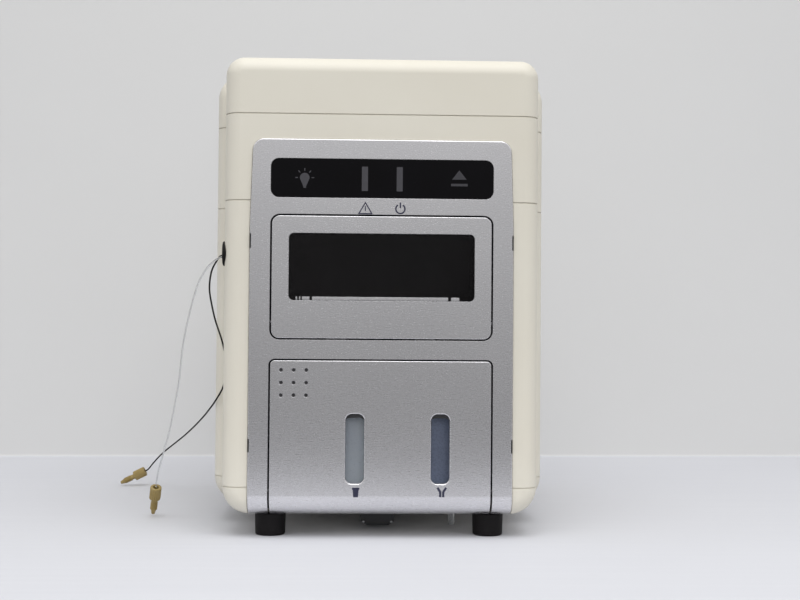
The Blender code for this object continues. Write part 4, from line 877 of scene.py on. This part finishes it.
# Plate door, its pane, and the pale ledge in front of the pane's foot, in five lengths
windowFacts = {"half": 0.0815, "low": 0.208, "high": 0.267, "radius": 0.0045,
               "span": (-0.1992, -0.1923), "flange": 0.004, "flangeY": -0.1937, "gap": 0.0003,
               "edge": 0.0003}
ledgeFacts = {"runs": ((-0.0752, -0.0738), (-0.0722, -0.0710), (-0.0697, -0.0631),
                       (-0.0609, 0.0583), (0.0610, 0.0682)),
              "low": 0.2083, "high": 0.2113, "front": -0.1998, "back": -0.19918, "edge": 0.0002}


def buildPlateDoor(door, window):
    panel = roundEdges(plate(door, 0, front, door["back"], 10), fasciaFacts["edge"] * 0.7)
    return carve(panel, plate(window, 0, face, -0.18), *pinBores(door))


def buildPane(window):
    return unite(plate(window, -window["gap"], *window["span"]),
                 plate(window, window["flange"], window["flangeY"], window["span"][1]))


def buildLedge(facts):
    return join(*(block((low, facts["front"], facts["low"]), (high, facts["back"], facts["high"]))
                  for low, high in facts["runs"]))


finish(buildPlateDoor(doorFacts["plate"], windowFacts), "plateDoor", "silver_paint",
       fasciaFacts["fine"])
finish(buildPane(windowFacts), "plateDoorWindow", "tinted_window", windowFacts["edge"])
finish(buildLedge(ledgeFacts), "windowLedge", "silver_paint", ledgeFacts["edge"],
       body="plate_door")

# Bottle door: wraps under the body, with two flared sight slots and nine dimples
# shade, shadeRim and shadeSpan size the dark arch sheet of painted shadow behind the top of each
# slot
slotFacts = {"places": (-0.0225, 0.0524), "half": 0.008, "low": 0.0485, "high": 0.109,
             "radius": 0.0056, "flare": 0.0013, "flareSteps": 6, "shade": 0.0034,
             "shadeRim": 0.001, "shadeSpan": (-0.1969, -0.1964)}
# The last three entries size the dark discs of painted shade in the dimples' floors
dimpleFacts = {"x": -0.0763, "z": 0.136, "pitch": 0.011, "radius": 0.0018, "depth": 0.0014,
               "lip": 0.0003, "pad": 0.0015, "floor": 0.0003, "paintedShadeRise": 0.0002}


def flaredSlot(centre, facts):
    flare = facts["flare"]
    levels = [(front - 0.002, flare), (front - hair, flare),
              *((front + flare * v, flare * u) for u, v in ease(facts["flareSteps"], 1)),
              (-0.19, 0)]
    return ringForm([atLevel(plateOutline(facts, grow, 10, centre), level)
                     for level, grow in levels])


def dimplePlaces(x, z, pitch):
    return [(x + column * pitch, front, z + row * pitch) for row in (-1, 0, 1)
            for column in (-1, 0, 1)]


def buildBottleDoor(door, slots, dimples):
    radius, lip, depth, x, z, pitch = (dimples[key] for key in (
        "radius", "lip", "depth", "x", "z", "pitch"))
    panel = carve(plate(door, 0, front, -0.17), bentSheet(fasciaFacts), operation="INTERSECT")
    roundEdges(panel, fasciaFacts["edge"] * 0.7)
    hole = [(0, -0.002), (radius + lip, -0.002), (radius + lip, -hair), (radius, lip),
            (radius, depth), (0, depth)]
    carve(panel, *(flaredSlot(centre, slots) for centre in slots["places"]),
          *(turned(hole, place, (0, 1, 0), 40) for place in dimplePlaces(x, z, pitch)))
    unite(panel, *lugs(door, -hingeFacts["lugGap"], -hingeFacts["lugReach"]))
    return carve(panel, *pinBores(door))


# Painted shade: dark discs in the floors of the dimples, and a dark arch sheet behind the upper
# edge of each slot that stands for the shadow the slot's edge casts on the bottle
def buildPaintedShade(slots, dimples):
    radius, floor, depth, rise, x, z, pitch = (dimples[key] for key in (
        "pad", "floor", "depth", "paintedShadeRise", "x", "z", "pitch"))
    pad = [(0, 0), (radius, 0), (radius, -floor), (0, -floor)]
    forms = [turned(pad, (px, y + depth + hair, pz + rise), (0, 1, 0), 32)
             for px, y, pz in dimplePlaces(x, z, pitch)]
    rim, low, high = slots["shadeRim"], slots["low"], slots["high"]
    for centre in slots["places"]:
        half = slots["half"] + rim * 1.4
        cutter = prism(rectangle(centre - half, centre + half, low, high - slots["shade"],
                                 slots["radius"], 10), -0.199, -0.195)
        forms.append(carve(plate({**slots, "low": low + 0.02 + rim}, rim, *slots["shadeSpan"],
                                 10, centre), cutter))
    return join(*forms)


finish(buildBottleDoor(doorFacts["bottle"], slotFacts, dimpleFacts), "bottleDoor",
       "silver_paint", angle=28)
# Dark sheet of painted shade in the dimples and under the slot tops, riding on the bottle door
finish(buildPaintedShade(slotFacts, dimpleFacts), "bottleDoorShades", "black_sheet", angle=50,
       body="bottle_door")
report("doors hung")

# Printed marks: thin raised ink, standing on the face that carries it
inkFacts = {"rise": 0.00004, "sink": 0.00002, "strip": -0.1995, "door": -0.200,
            "colours": {"greyInk": (62, 61, 66), "navyInk": (36, 38, 62),
                        "faintInk": (53, 52, 57)}}
inks = {name: mixFinish(name, colour, darker(colour, 5), 400, 2500, 0.5, 0.05)
        for name, colour in inkFacts["colours"].items()}


# A line of ink of even width through (x, z) points
def inkLine(points, width, low, high, closed=False):
    points = [Vector(point) for point in points]
    count = len(points)
    rings = []
    for index, point in enumerate(points):
        before = points[index - 1] if index or closed else None
        after = points[(index + 1) % count] if index < count - 1 or closed else None
        runs = [(point - before).normalized()] if before else []
        runs += [(after - point).normalized()] if after else []
        run = sum(runs, Vector((0, 0))).normalized()
        across = Vector((-run.y, run.x))
        stretch = 1 / max(0.4, across.dot(Vector((-runs[0].y, runs[0].x))))
        left, right = (point + across * side * width / 2 * stretch for side in (1, -1))
        rings.append([(left.x, low, left.y), (left.x, high, left.y), (right.x, high, right.y),
                      (right.x, low, right.y)])
    return ringForm(rings, closed=closed)


def arc(centre, radius, start, end, steps=16):
    turns = [math.radians(start + (end - start) * step / steps) for step in range(steps + 1)]
    return [(centre[0] + radius * math.cos(turn), centre[1] + radius * math.sin(turn))
            for turn in turns]


# Each mark: its finish, its face, its body, its filled patches, and its lines with their widths
bulb = (-0.0682, 0.3156)
tag = 0.0539
markFacts = {
    "lampMark": ("greyInk", "strip", "housing", [
        [(-0.0670, 0.3066), (-0.0670, 0.3080), *arc(bulb, 0.0042, -32, 212, 24),
         (-0.0694, 0.3080), (-0.0694, 0.3066)]],
        [([*arc(bulb, 0.0059, angle, angle, 1)[:1], *arc(bulb, 0.0083, angle, angle, 1)[:1]],
          0.0008) for angle in (0, 48, 90, 132, 180)]),
    "barMarks": ("greyInk", "strip", "housing", [
        rectangle(low, high, 0.3044, 0.3258, 0.0005, 4)
        for low, high in ((-0.0182, -0.0128), (0.0124, 0.0177))], []),
    "ejectMark": ("faintInk", "strip", "housing", [
        [(0.0611, 0.3153), (0.0740, 0.3154), (0.0675, 0.3236)],
        [(0.0602, 0.3095), (0.0749, 0.3095), (0.0749, 0.3117), (0.0602, 0.3117)]], []),
    "statusMarks": ("navyInk", "door", "housing", [], [
        ([(-0.0206, 0.2845), (-0.0092, 0.2845), (-0.0149, 0.2941)], 0.0010, True),
        ([(-0.0149, 0.2868), (-0.0149, 0.2913)], 0.0009),
        (arc((0.0158, 0.2889), 0.0040, 122, 418, 28), 0.0013),
        ([(0.0158, 0.2897), (0.0158, 0.2945)], 0.0012)]),
    "bottleMarks": ("navyInk", "door", "bottle_door", [
        [(-0.0239, 0.0432), (-0.0187, 0.0432), (-0.0192, 0.0367), (-0.0234, 0.0367)]], [
        ([(-0.0245, 0.0441), (-0.0181, 0.0441)], 0.0018),
        *(([(tag + side * 0.0038, 0.0452), (tag + side * 0.0013, 0.0414),
            (tag + side * 0.0013, 0.0370)], 0.0020) for side in (-1, 1))]),
}
for name, (ink, surface, body, patches, lines) in markFacts.items():
    low, high = inkFacts[surface] + inkFacts["sink"], inkFacts[surface] - inkFacts["rise"]
    mark = join(*(prism(points, low, high) for points in patches),
                *(inkLine(points, width, low, high, *closed) for points, width, *closed in lines))
    mark.name = mark.data.name = name
    mark.data.materials.append(inks[ink])
    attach(mark, body)
report("marks printed")

# Feet, turned, each with its stud in the base pan
footFacts = {"low": 0.0133, "high": 0.0138, "height": 0.0197, "rim": 0.0016, "stud": 0.003,
             "top": 0.0259, "dish": 0.0055, "dishDepth": 0.0012, "edge": 0.0006, "fine": 0.0004}


def buildFoot(place, low, high, height, rim, stud, top, dish, dishDepth, edge, fine):
    return turned([(0, dishDepth), (dish, dishDepth), (dish + edge, 0),
                   *((low - rim * u, rim * v) for u, v in ease(6)),
                   (high, height - edge), (high - edge, height), (stud, height),
                   (stud, top - fine), (stud - fine, top), (0, top)], place, steps=72)


for side, word in sides:
    for end, y in holeFacts["feet"].items():
        finish(buildFoot((side * holeFacts["footX"], y, 0), **footFacts),
               camel("foot", end, word), "black_rubber")

# Side port: an oval rubber gland seated on the panel's rounded corner
glandFacts = {"half": (0.0105, 0.0109), "span": (-0.1408, -0.1345), "neck": (0.0045, 0.0085),
              "neckSpan": (-0.1398, -0.132), "edge": 0.0009, "seatGap": 0.0003, "steps": 12,
              "rim": (0.00088, 0.0019, 0.0007)}


def buildGland(half, span, neck, neckSpan, edge, seatGap, steps, rim):
    gland = roundEdges(oval(half, span, steps), edge)
    carve(gland, moduleForm(-seatGap, **housingFacts["front"]))
    rise = rim[-1]
    rims = [collar(*rim, (span[0], *route[0][1:]), (-1, 0, 0), (0.0004, rise * 0.5), rise * 0.3,
                   0.001, 32) for route in (blackRoute, clearRoute)]
    return unite(gland, oval(neck, neckSpan, steps), *rims)


finish(buildGland(**glandFacts), "portGland", "black_rubber", angle=40)

# Underside: drain block with its two bright studs, and the clear spout
drainFacts = {"x": -0.0011, "half": ((0.0155, 0.0197, 0), (0.0155, 0.0066, 0.0016),
                                     (0.0100, 0.0034, 0.0014)),
              "front": -0.140, "back": -0.116, "edge": 0.0004}
studFacts = {"reach": 0.0128, "z": 0.0062, "radius": 0.0013, "sink": 0.0008, "rise": 0.0006}
spoutFacts = {"place": (0.0678, -0.130, 0.0025), "top": 0.0197, "radius": 0.003, "bore": 0.0018,
              "edge": 0.0003, "roof": 0.0012}


def mirrored(half, middle=0.0):
    return [*((middle - reach, *more) for reach, *more in half),
            *((middle + reach, *more) for reach, *more in reversed(half))]


def buildStuds(reach, z, radius, sink, rise):
    profile = [(0, sink), (radius, sink), (radius, 0), (radius * 0.7, -rise * 0.8), (0, -rise)]
    return join(*(turned(profile, (drainFacts["x"] + side * reach, drainFacts["front"], z),
                         (0, 1, 0), 24) for side in (-1, 1)))


def buildSpout(place, top, radius, bore, edge, roof):
    length = top - place[2]
    return turned([(0, length - roof), (bore, length - roof), (bore, edge), (bore + edge, 0),
                   (radius - edge, 0), (radius, edge), (radius, length), (0, length)], place)


drain = prism(roundedOutline(mirrored(drainFacts["half"], drainFacts["x"]), 6),
              drainFacts["front"], drainFacts["back"])
finish(drain, "drainBlock", "black_plastic", drainFacts["edge"], 3)
finish(buildSpout(**spoutFacts), "drainSpout", "clear_polymer")
finish(buildStuds(**studFacts), "drainBlockStuds", "bright_steel", angle=50)
report("feet, gland and underside fitted")

# Bottles: rounded bodies that draw in to a round neck, under ribbed screw caps
bottlePlaces = {"waste": (-0.0225, "milky_bottle"), "wash": (0.0524, "blue_bottle")}
bottleFacts = {"low": 0.0276, "top": 0.1136, "foot": 0.004, "shoulder": 0.009, "neck": 0.0145,
               "neckTop": 0.1296, "edge": 0.0004, "slope": 0.0166,
               "beads": ((0.0016, 0.0001), (0.0006, 0.0004), (0, 0.0012), (0, 0.004),
                         (0.0005, 0.0045), (0.0005, 0.0052), (0, 0.0057), (0, 0.0085),
                         (0.0005, 0.009), (0.0005, 0.0097), (0, 0.0102))}
bodyFacts = {"y": -0.118, "half": (0.034, 0.040), "corner": 0.010, "least": 0.002}
capFacts = {"low": 0.1144, "height": 0.019, "radius": 0.0178, "bore": 0.0153, "roof": 0.003,
            "edge": 0.0014, "grips": 40, "grip": 0.0007, "gripSpan": (0.0006, 0.0155)}


def bottleRing(centre, inset, level, roundness=0.0, radius=0.0):
    halfX, halfY = (half - inset for half in bodyFacts["half"])
    corner = max(bodyFacts["least"], bodyFacts["corner"] - inset)
    ring = []
    for u, v in rectangle(-halfX, halfX, -halfY, halfY, corner, 11):
        scale = (1 - roundness) + roundness * radius / math.hypot(u, v)
        ring.append((centre + u * scale, bodyFacts["y"] + v * scale, level))
    return ring


def buildBottle(centre, low, top, foot, shoulder, neck, neckTop, edge, slope, beads):
    rings = [(foot * u, low + foot * v) for u, v in ease(6)]
    rings += [(shoulder * v, top - 0.0006 - shoulder * u) for u, v in ease(8, 0, 82)]
    base = rings[-1][1]
    rings += [(shoulder * 0.86, base + 0.0008 * share, share, slope)
              for share in (0.25, 0.5, 0.75, 0.9)]
    rings += [(0, top + level, 1.0, neck + grow) for grow, level in beads]
    rings += [(0, neckTop - edge, 1.0, neck), (0, neckTop, 1.0, neck - edge)]
    return ringForm([bottleRing(centre, *ring) for ring in rings])


def buildCap(centre, low, height, radius, bore, roof, edge, grips, grip, gripSpan):
    place = (centre, bodyFacts["y"], low)
    body = turned([(0, height - roof), (bore, height - roof), (bore, 0.0003),
                   (bore + 0.0003, 0), (radius - 0.0002, 0), (radius, 0.0002),
                   *((radius - edge * v, height - edge * u) for u, v in ease(5)),
                   (radius * 0.72, height), (radius * 0.70, height - 0.0005),
                   (0, height - 0.0005)], place, steps=80)
    half = [(grip * 0.8, -0.0004), (grip * 0.6, grip * 0.5), (grip * 0.25, grip)]
    rib = prism([(u, v) for v, u in mirrored(half)], *gripSpan, "Z", "capRib")
    return join(body, growTree("ring", "capRibs", "black_plastic", Matrix.Translation(place),
                               Count=grips, Radius=radius - 0.00005, Part=rib))


for word, (centre, slot) in bottlePlaces.items():
    finish(buildBottle(centre, **bottleFacts), word + "Bottle", slot, angle=50)
    finish(buildCap(centre, **capFacts), word + "Cap", "black_plastic", angle=40, flat=0)
report("bottles capped")

# Fan: hub, twisted blades, and the guard's round wires
fanX, fanZ = 0.055, 0.330
hubFacts = {"start": 0.1780, "length": 0.0148, "radius": 0.016, "base": 0.0026, "edge": 0.0014,
            "shaft": 0.0025, "lip": 0.0006}
bladeFacts = {"root": 0.0150, "tip": 0.0362, "chord": 0.0138, "pitch": (46, 24), "sweep": 0.22,
              "camber": 0.0011, "thickness": 0.0007, "rim": 0.00012, "stations": 10, "points": 9}
guardFacts = {"y": 0.1974, "wire": 0.0009, "spoke": 0.95, "rings": (0.011, 0.022, 0.033),
              "reach": 0.0395, "eye": 0.0026}


# A blade along X from the ring it stands on, its axle along Z
def buildBlade(root, tip, chord, pitch, sweep, camber, thickness, rim, stations, points):
    alongs = [index / (points - 1) for index in range(points)]
    trip = [(1, along) for along in alongs] + [(-1, 1 - along) for along in alongs]
    rings = []
    for share in (station / stations for station in range(stations + 1)):
        radius = root + (tip - root) * share
        tilt = math.radians(pitch[0] + (pitch[1] - pitch[0]) * share)
        width = chord * (0.86 + 0.3 * share - 0.22 * share ** 4)
        ring = []
        for side, along in trip:
            bow = 1 - (2 * along - 1) ** 2
            rise = camber * bow + side * (rim + thickness * 0.5 * bow)
            across = (along - 0.5) * width
            tangent = across * math.cos(tilt) - rise * math.sin(tilt)
            axial = across * math.sin(tilt) + rise * math.cos(tilt)
            turn = sweep * (share - 0.5) + tangent / radius
            ring.append((radius * math.cos(turn) - root, radius * math.sin(turn), axial))
        rings.append(ring)
    return ringForm(rings, "fanBlade")


def buildHub(start, length, radius, base, edge, shaft, lip):
    return turned([(0, 0), (shaft, 0), (shaft, base), (radius - lip, base), (radius, base + lip),
                   *((radius - edge * v, length - edge * u) for u, v in ease(5)),
                   (radius * 0.55, length), (radius * 0.52, length - 0.0004),
                   (0, length - 0.0004)], (fanX, start, fanZ), (0, 1, 0), 64)


def wireRing(centre, radius, wire, steps=72, wireSides=12):
    rings = []
    for turn in (math.tau * step / steps for step in range(steps)):
        ring = []
        for tilt in (math.tau * side / wireSides for side in range(wireSides)):
            reach = radius + wire * math.cos(tilt)
            ring.append(centre + Vector((reach * math.cos(turn), wire * math.sin(tilt),
                                         reach * math.sin(turn))))
        rings.append(ring)
    return ringForm(rings, closed=True)


# Three rings, and four spokes that end in the eyes for the screws
def buildGuard(y, wire, spoke, rings, reach, eye):
    centre = Vector((fanX, y, fanZ))
    forms = [wireRing(centre, radius, wire) for radius in rings]
    for turn in (math.radians(90 * index) for index in range(4)):
        axis = Vector((math.cos(turn), 0, math.sin(turn)))
        forms += [rod(centre, axis, reach - 2 * eye, wire * spoke, steps=12),
                  wireRing(centre + axis * (reach - eye), eye - wire, wire * spoke)]
    return join(*forms)


fanPlace = Matrix.Translation((fanX, 0.1867, fanZ)) @ Matrix.Rotation(math.radians(-90), 4, "X")
blades = growTree("ring", "fanBlades", "black_plastic", fanPlace, Count=7,
                  Radius=bladeFacts["root"], Part=buildBlade(**bladeFacts))
finish(join(buildHub(**hubFacts), blades), "fanImpeller", "black_plastic", angle=45, flat=0)
finish(buildGuard(**guardFacts), "fanGuard", "black_plastic", angle=60, flat=0)

# Screws with crossed recesses, on the rear panel and the fan
screwFacts = {"radius": 0.0029, "height": 0.0016, "slot": 0.0007, "reach": 0.0019,
              "depth": 0.0009, "shank": 0.0006}
screwY = 0.196
screwPlaces = {
    "rearPanelScrews": (1.0, [(x * side, z) for x, heights in (
        (0.1455, (0.058, 0.222, 0.386)), (0.075, (0.0315, 0.4130)))
        for side in (-1, 1) for z in heights]),
    "fanScrews": (0.95, [(fanX + u * 0.0357, fanZ + v * 0.0357) for u in (-1, 1)
                         for v in (-1, 1)])}


# A pan head that faces +Y, its seat at the origin
def buildScrew(radius, height, slot, reach, depth, shank):
    half, floor = slot / 2, height - depth
    screw = turned([(0, -shank), (radius * 0.5, -shank), (radius * 0.5, 0), (radius, 0),
                    *((radius * (1 - 0.45 * v), height * (1 - 0.7 * u)) for u, v in ease(5)),
                    (0, height)], (0, 0, 0), (0, 1, 0), 24, "screw")
    return carve(screw, *(block((-u, floor, -v), (u, height + 0.001, v))
                          for u, v in ((reach, half), (half, reach))))


for name, (size, places) in screwPlaces.items():
    carrier = bpy.data.meshes.new(name)
    carrier.from_pydata([(x, screwY, z) for x, z in places], [], [])
    screws = growTree("points", name, "bright_steel", carrier=putObject(name, carrier),
                      Part=buildScrew(**screwFacts), Size=size)
    finish(screws, name, "bright_steel", angle=40, flat=0)

# Inlet pins and the data port's tongue
inletFacts = {"places": ((-0.0770, 0.0806), (-0.0630, 0.0806), (-0.0700, 0.0852)),
              "half": (0.0010, 0.0020), "span": (0.1822, 0.1950), "edge": 0.0004}
tongueFacts = {"low": (-0.0226, 0.1858, 0.0934), "high": (-0.0174, 0.1945, 0.0966)}


def buildInletPins(places, half, span, edge):
    (u, v), (start, end) = half, span
    return join(*(roundEdges(block((x - u, start, z - v), (x + u, end, z + v)), edge, 2)
                  for x, z in places))


finish(buildInletPins(**inletFacts), "inletPins", "bright_steel")
finish(block(**tongueFacts), "dataPortTongue", "black_plastic", 0.0003)
report("rear services fitted")

# Head rods, their bushings, and the needle
headFacts = {"half": 0.1087, "y": -0.006, "heights": {"upper": 0.336, "lower": 0.312},
             "radius": 0.004, "edge": 0.0005, "bushings": (0.084 - 0.018, 0.084 + 0.018),
             "bush": (0.0042, 0.0066, 0.0011)}
needleFacts = {"place": (0.084, -0.033, 0.248), "radius": 0.0008, "point": 0.00025,
               "taper": 0.0034, "length": 0.05914}


def buildBushings(facts):
    return join(*(collar(*facts["bush"], (x, facts["y"], z), (side, 0, 0), (0.0003, 0.0003),
                         0.0002, 0.0004, 40) for z in facts["heights"].values()
                  for side, x in zip((-1, 1), facts["bushings"])))


def buildNeedle(place, radius, point, taper, length):
    return turned([(0, 0), (point, 0), (radius, taper), (radius, length), (0, length)], place,
                  steps=32)


finish(buildBushings(headFacts), "carriageBushings", "bright_steel", angle=45,
       body="head_carriage")
for word, z in headFacts["heights"].items():
    half = headFacts["half"]
    finish(rod((-half, headFacts["y"], z), (1, 0, 0), 2 * half, headFacts["radius"],
               headFacts["edge"], 48), camel("head_rod", word), "bright_steel")
finish(buildNeedle(**needleFacts), "probeNeedle", "bright_steel")

# Electronics: chips stand on the board's outer face
boardPlace = Matrix(((0, 0, -1, -0.1189), (1, 0, 0, 0.036), (0, 1, 0, 0.169), (0, 0, 0, 1)))
boardFacts = {"Length": 0.160, "Width": 0.150, "Columns": 9, "Rows": 8, "Share": 0.55,
              "Smallest": (0.005, 0.004, 0.0012), "Largest": (0.014, 0.011, 0.0045), "Seed": 11}
finish(growTree("chips", "boardChips", "black_plastic", boardPlace, **boardFacts), "boardChips",
       "black_plastic", 0.0003)
report("head and electronics fitted")

# Hinge pins in a darker grey steel than the bright steel parts; their ends show between door and
# fascia
pinFacts = {"inset": 0.007, "length": 0.0154, "radius": 0.0015, "edge": 0.0002}
pinLook = mixFinish("darkPinSteel", (92, 91, 94), (80, 79, 82), 300, 1200, 0.45, 0.05, metal=0.8)
for prefix, door in doorFacts.items():
    for side, word in sides:
        pin = rod((side * (door["half"] - pinFacts["inset"]), door["pinY"], door["pinHeight"]),
                  (side, 0, 0), pinFacts["length"], pinFacts["radius"], pinFacts["edge"], 24)
        finish(pin, camel(prefix, "door_pin", word), "bright_steel", look=pinLook)

# The remaining CAD pieces, welded, with rounded edges and even shading
refinedFacts = (
    ("bright_steel", 0.0003, "power_supply data_port"),
    ("black_plastic", 0.0004, "stage_motor head_carriage probe_arm head_motor bottle_tray "
                              "wash_pump fan_frame power_inlet power_switch"),
    ("machined_alloy", 0.0003, "plate_stage stage_rail_left stage_rail_right wash_cup"),
    ("black_sheet", 0.0004, "left_frame right_frame rear_bulkhead deck_plate"),
    ("green_board", 0.0, "control_board"),
    ("cream_plastic", 0.0003, "rear_panel"),
    ("bright_steel", 0.0003, "door_magnet"),
)
for slot, edge, nodes in refinedFacts:
    for node in nodes.split():
        finish(putObject(camel(node), cadNodes[node].data.copy()), camel(node), slot, edge,
               look=pinLook if node == "door_magnet" else None)
report("other pieces refined")
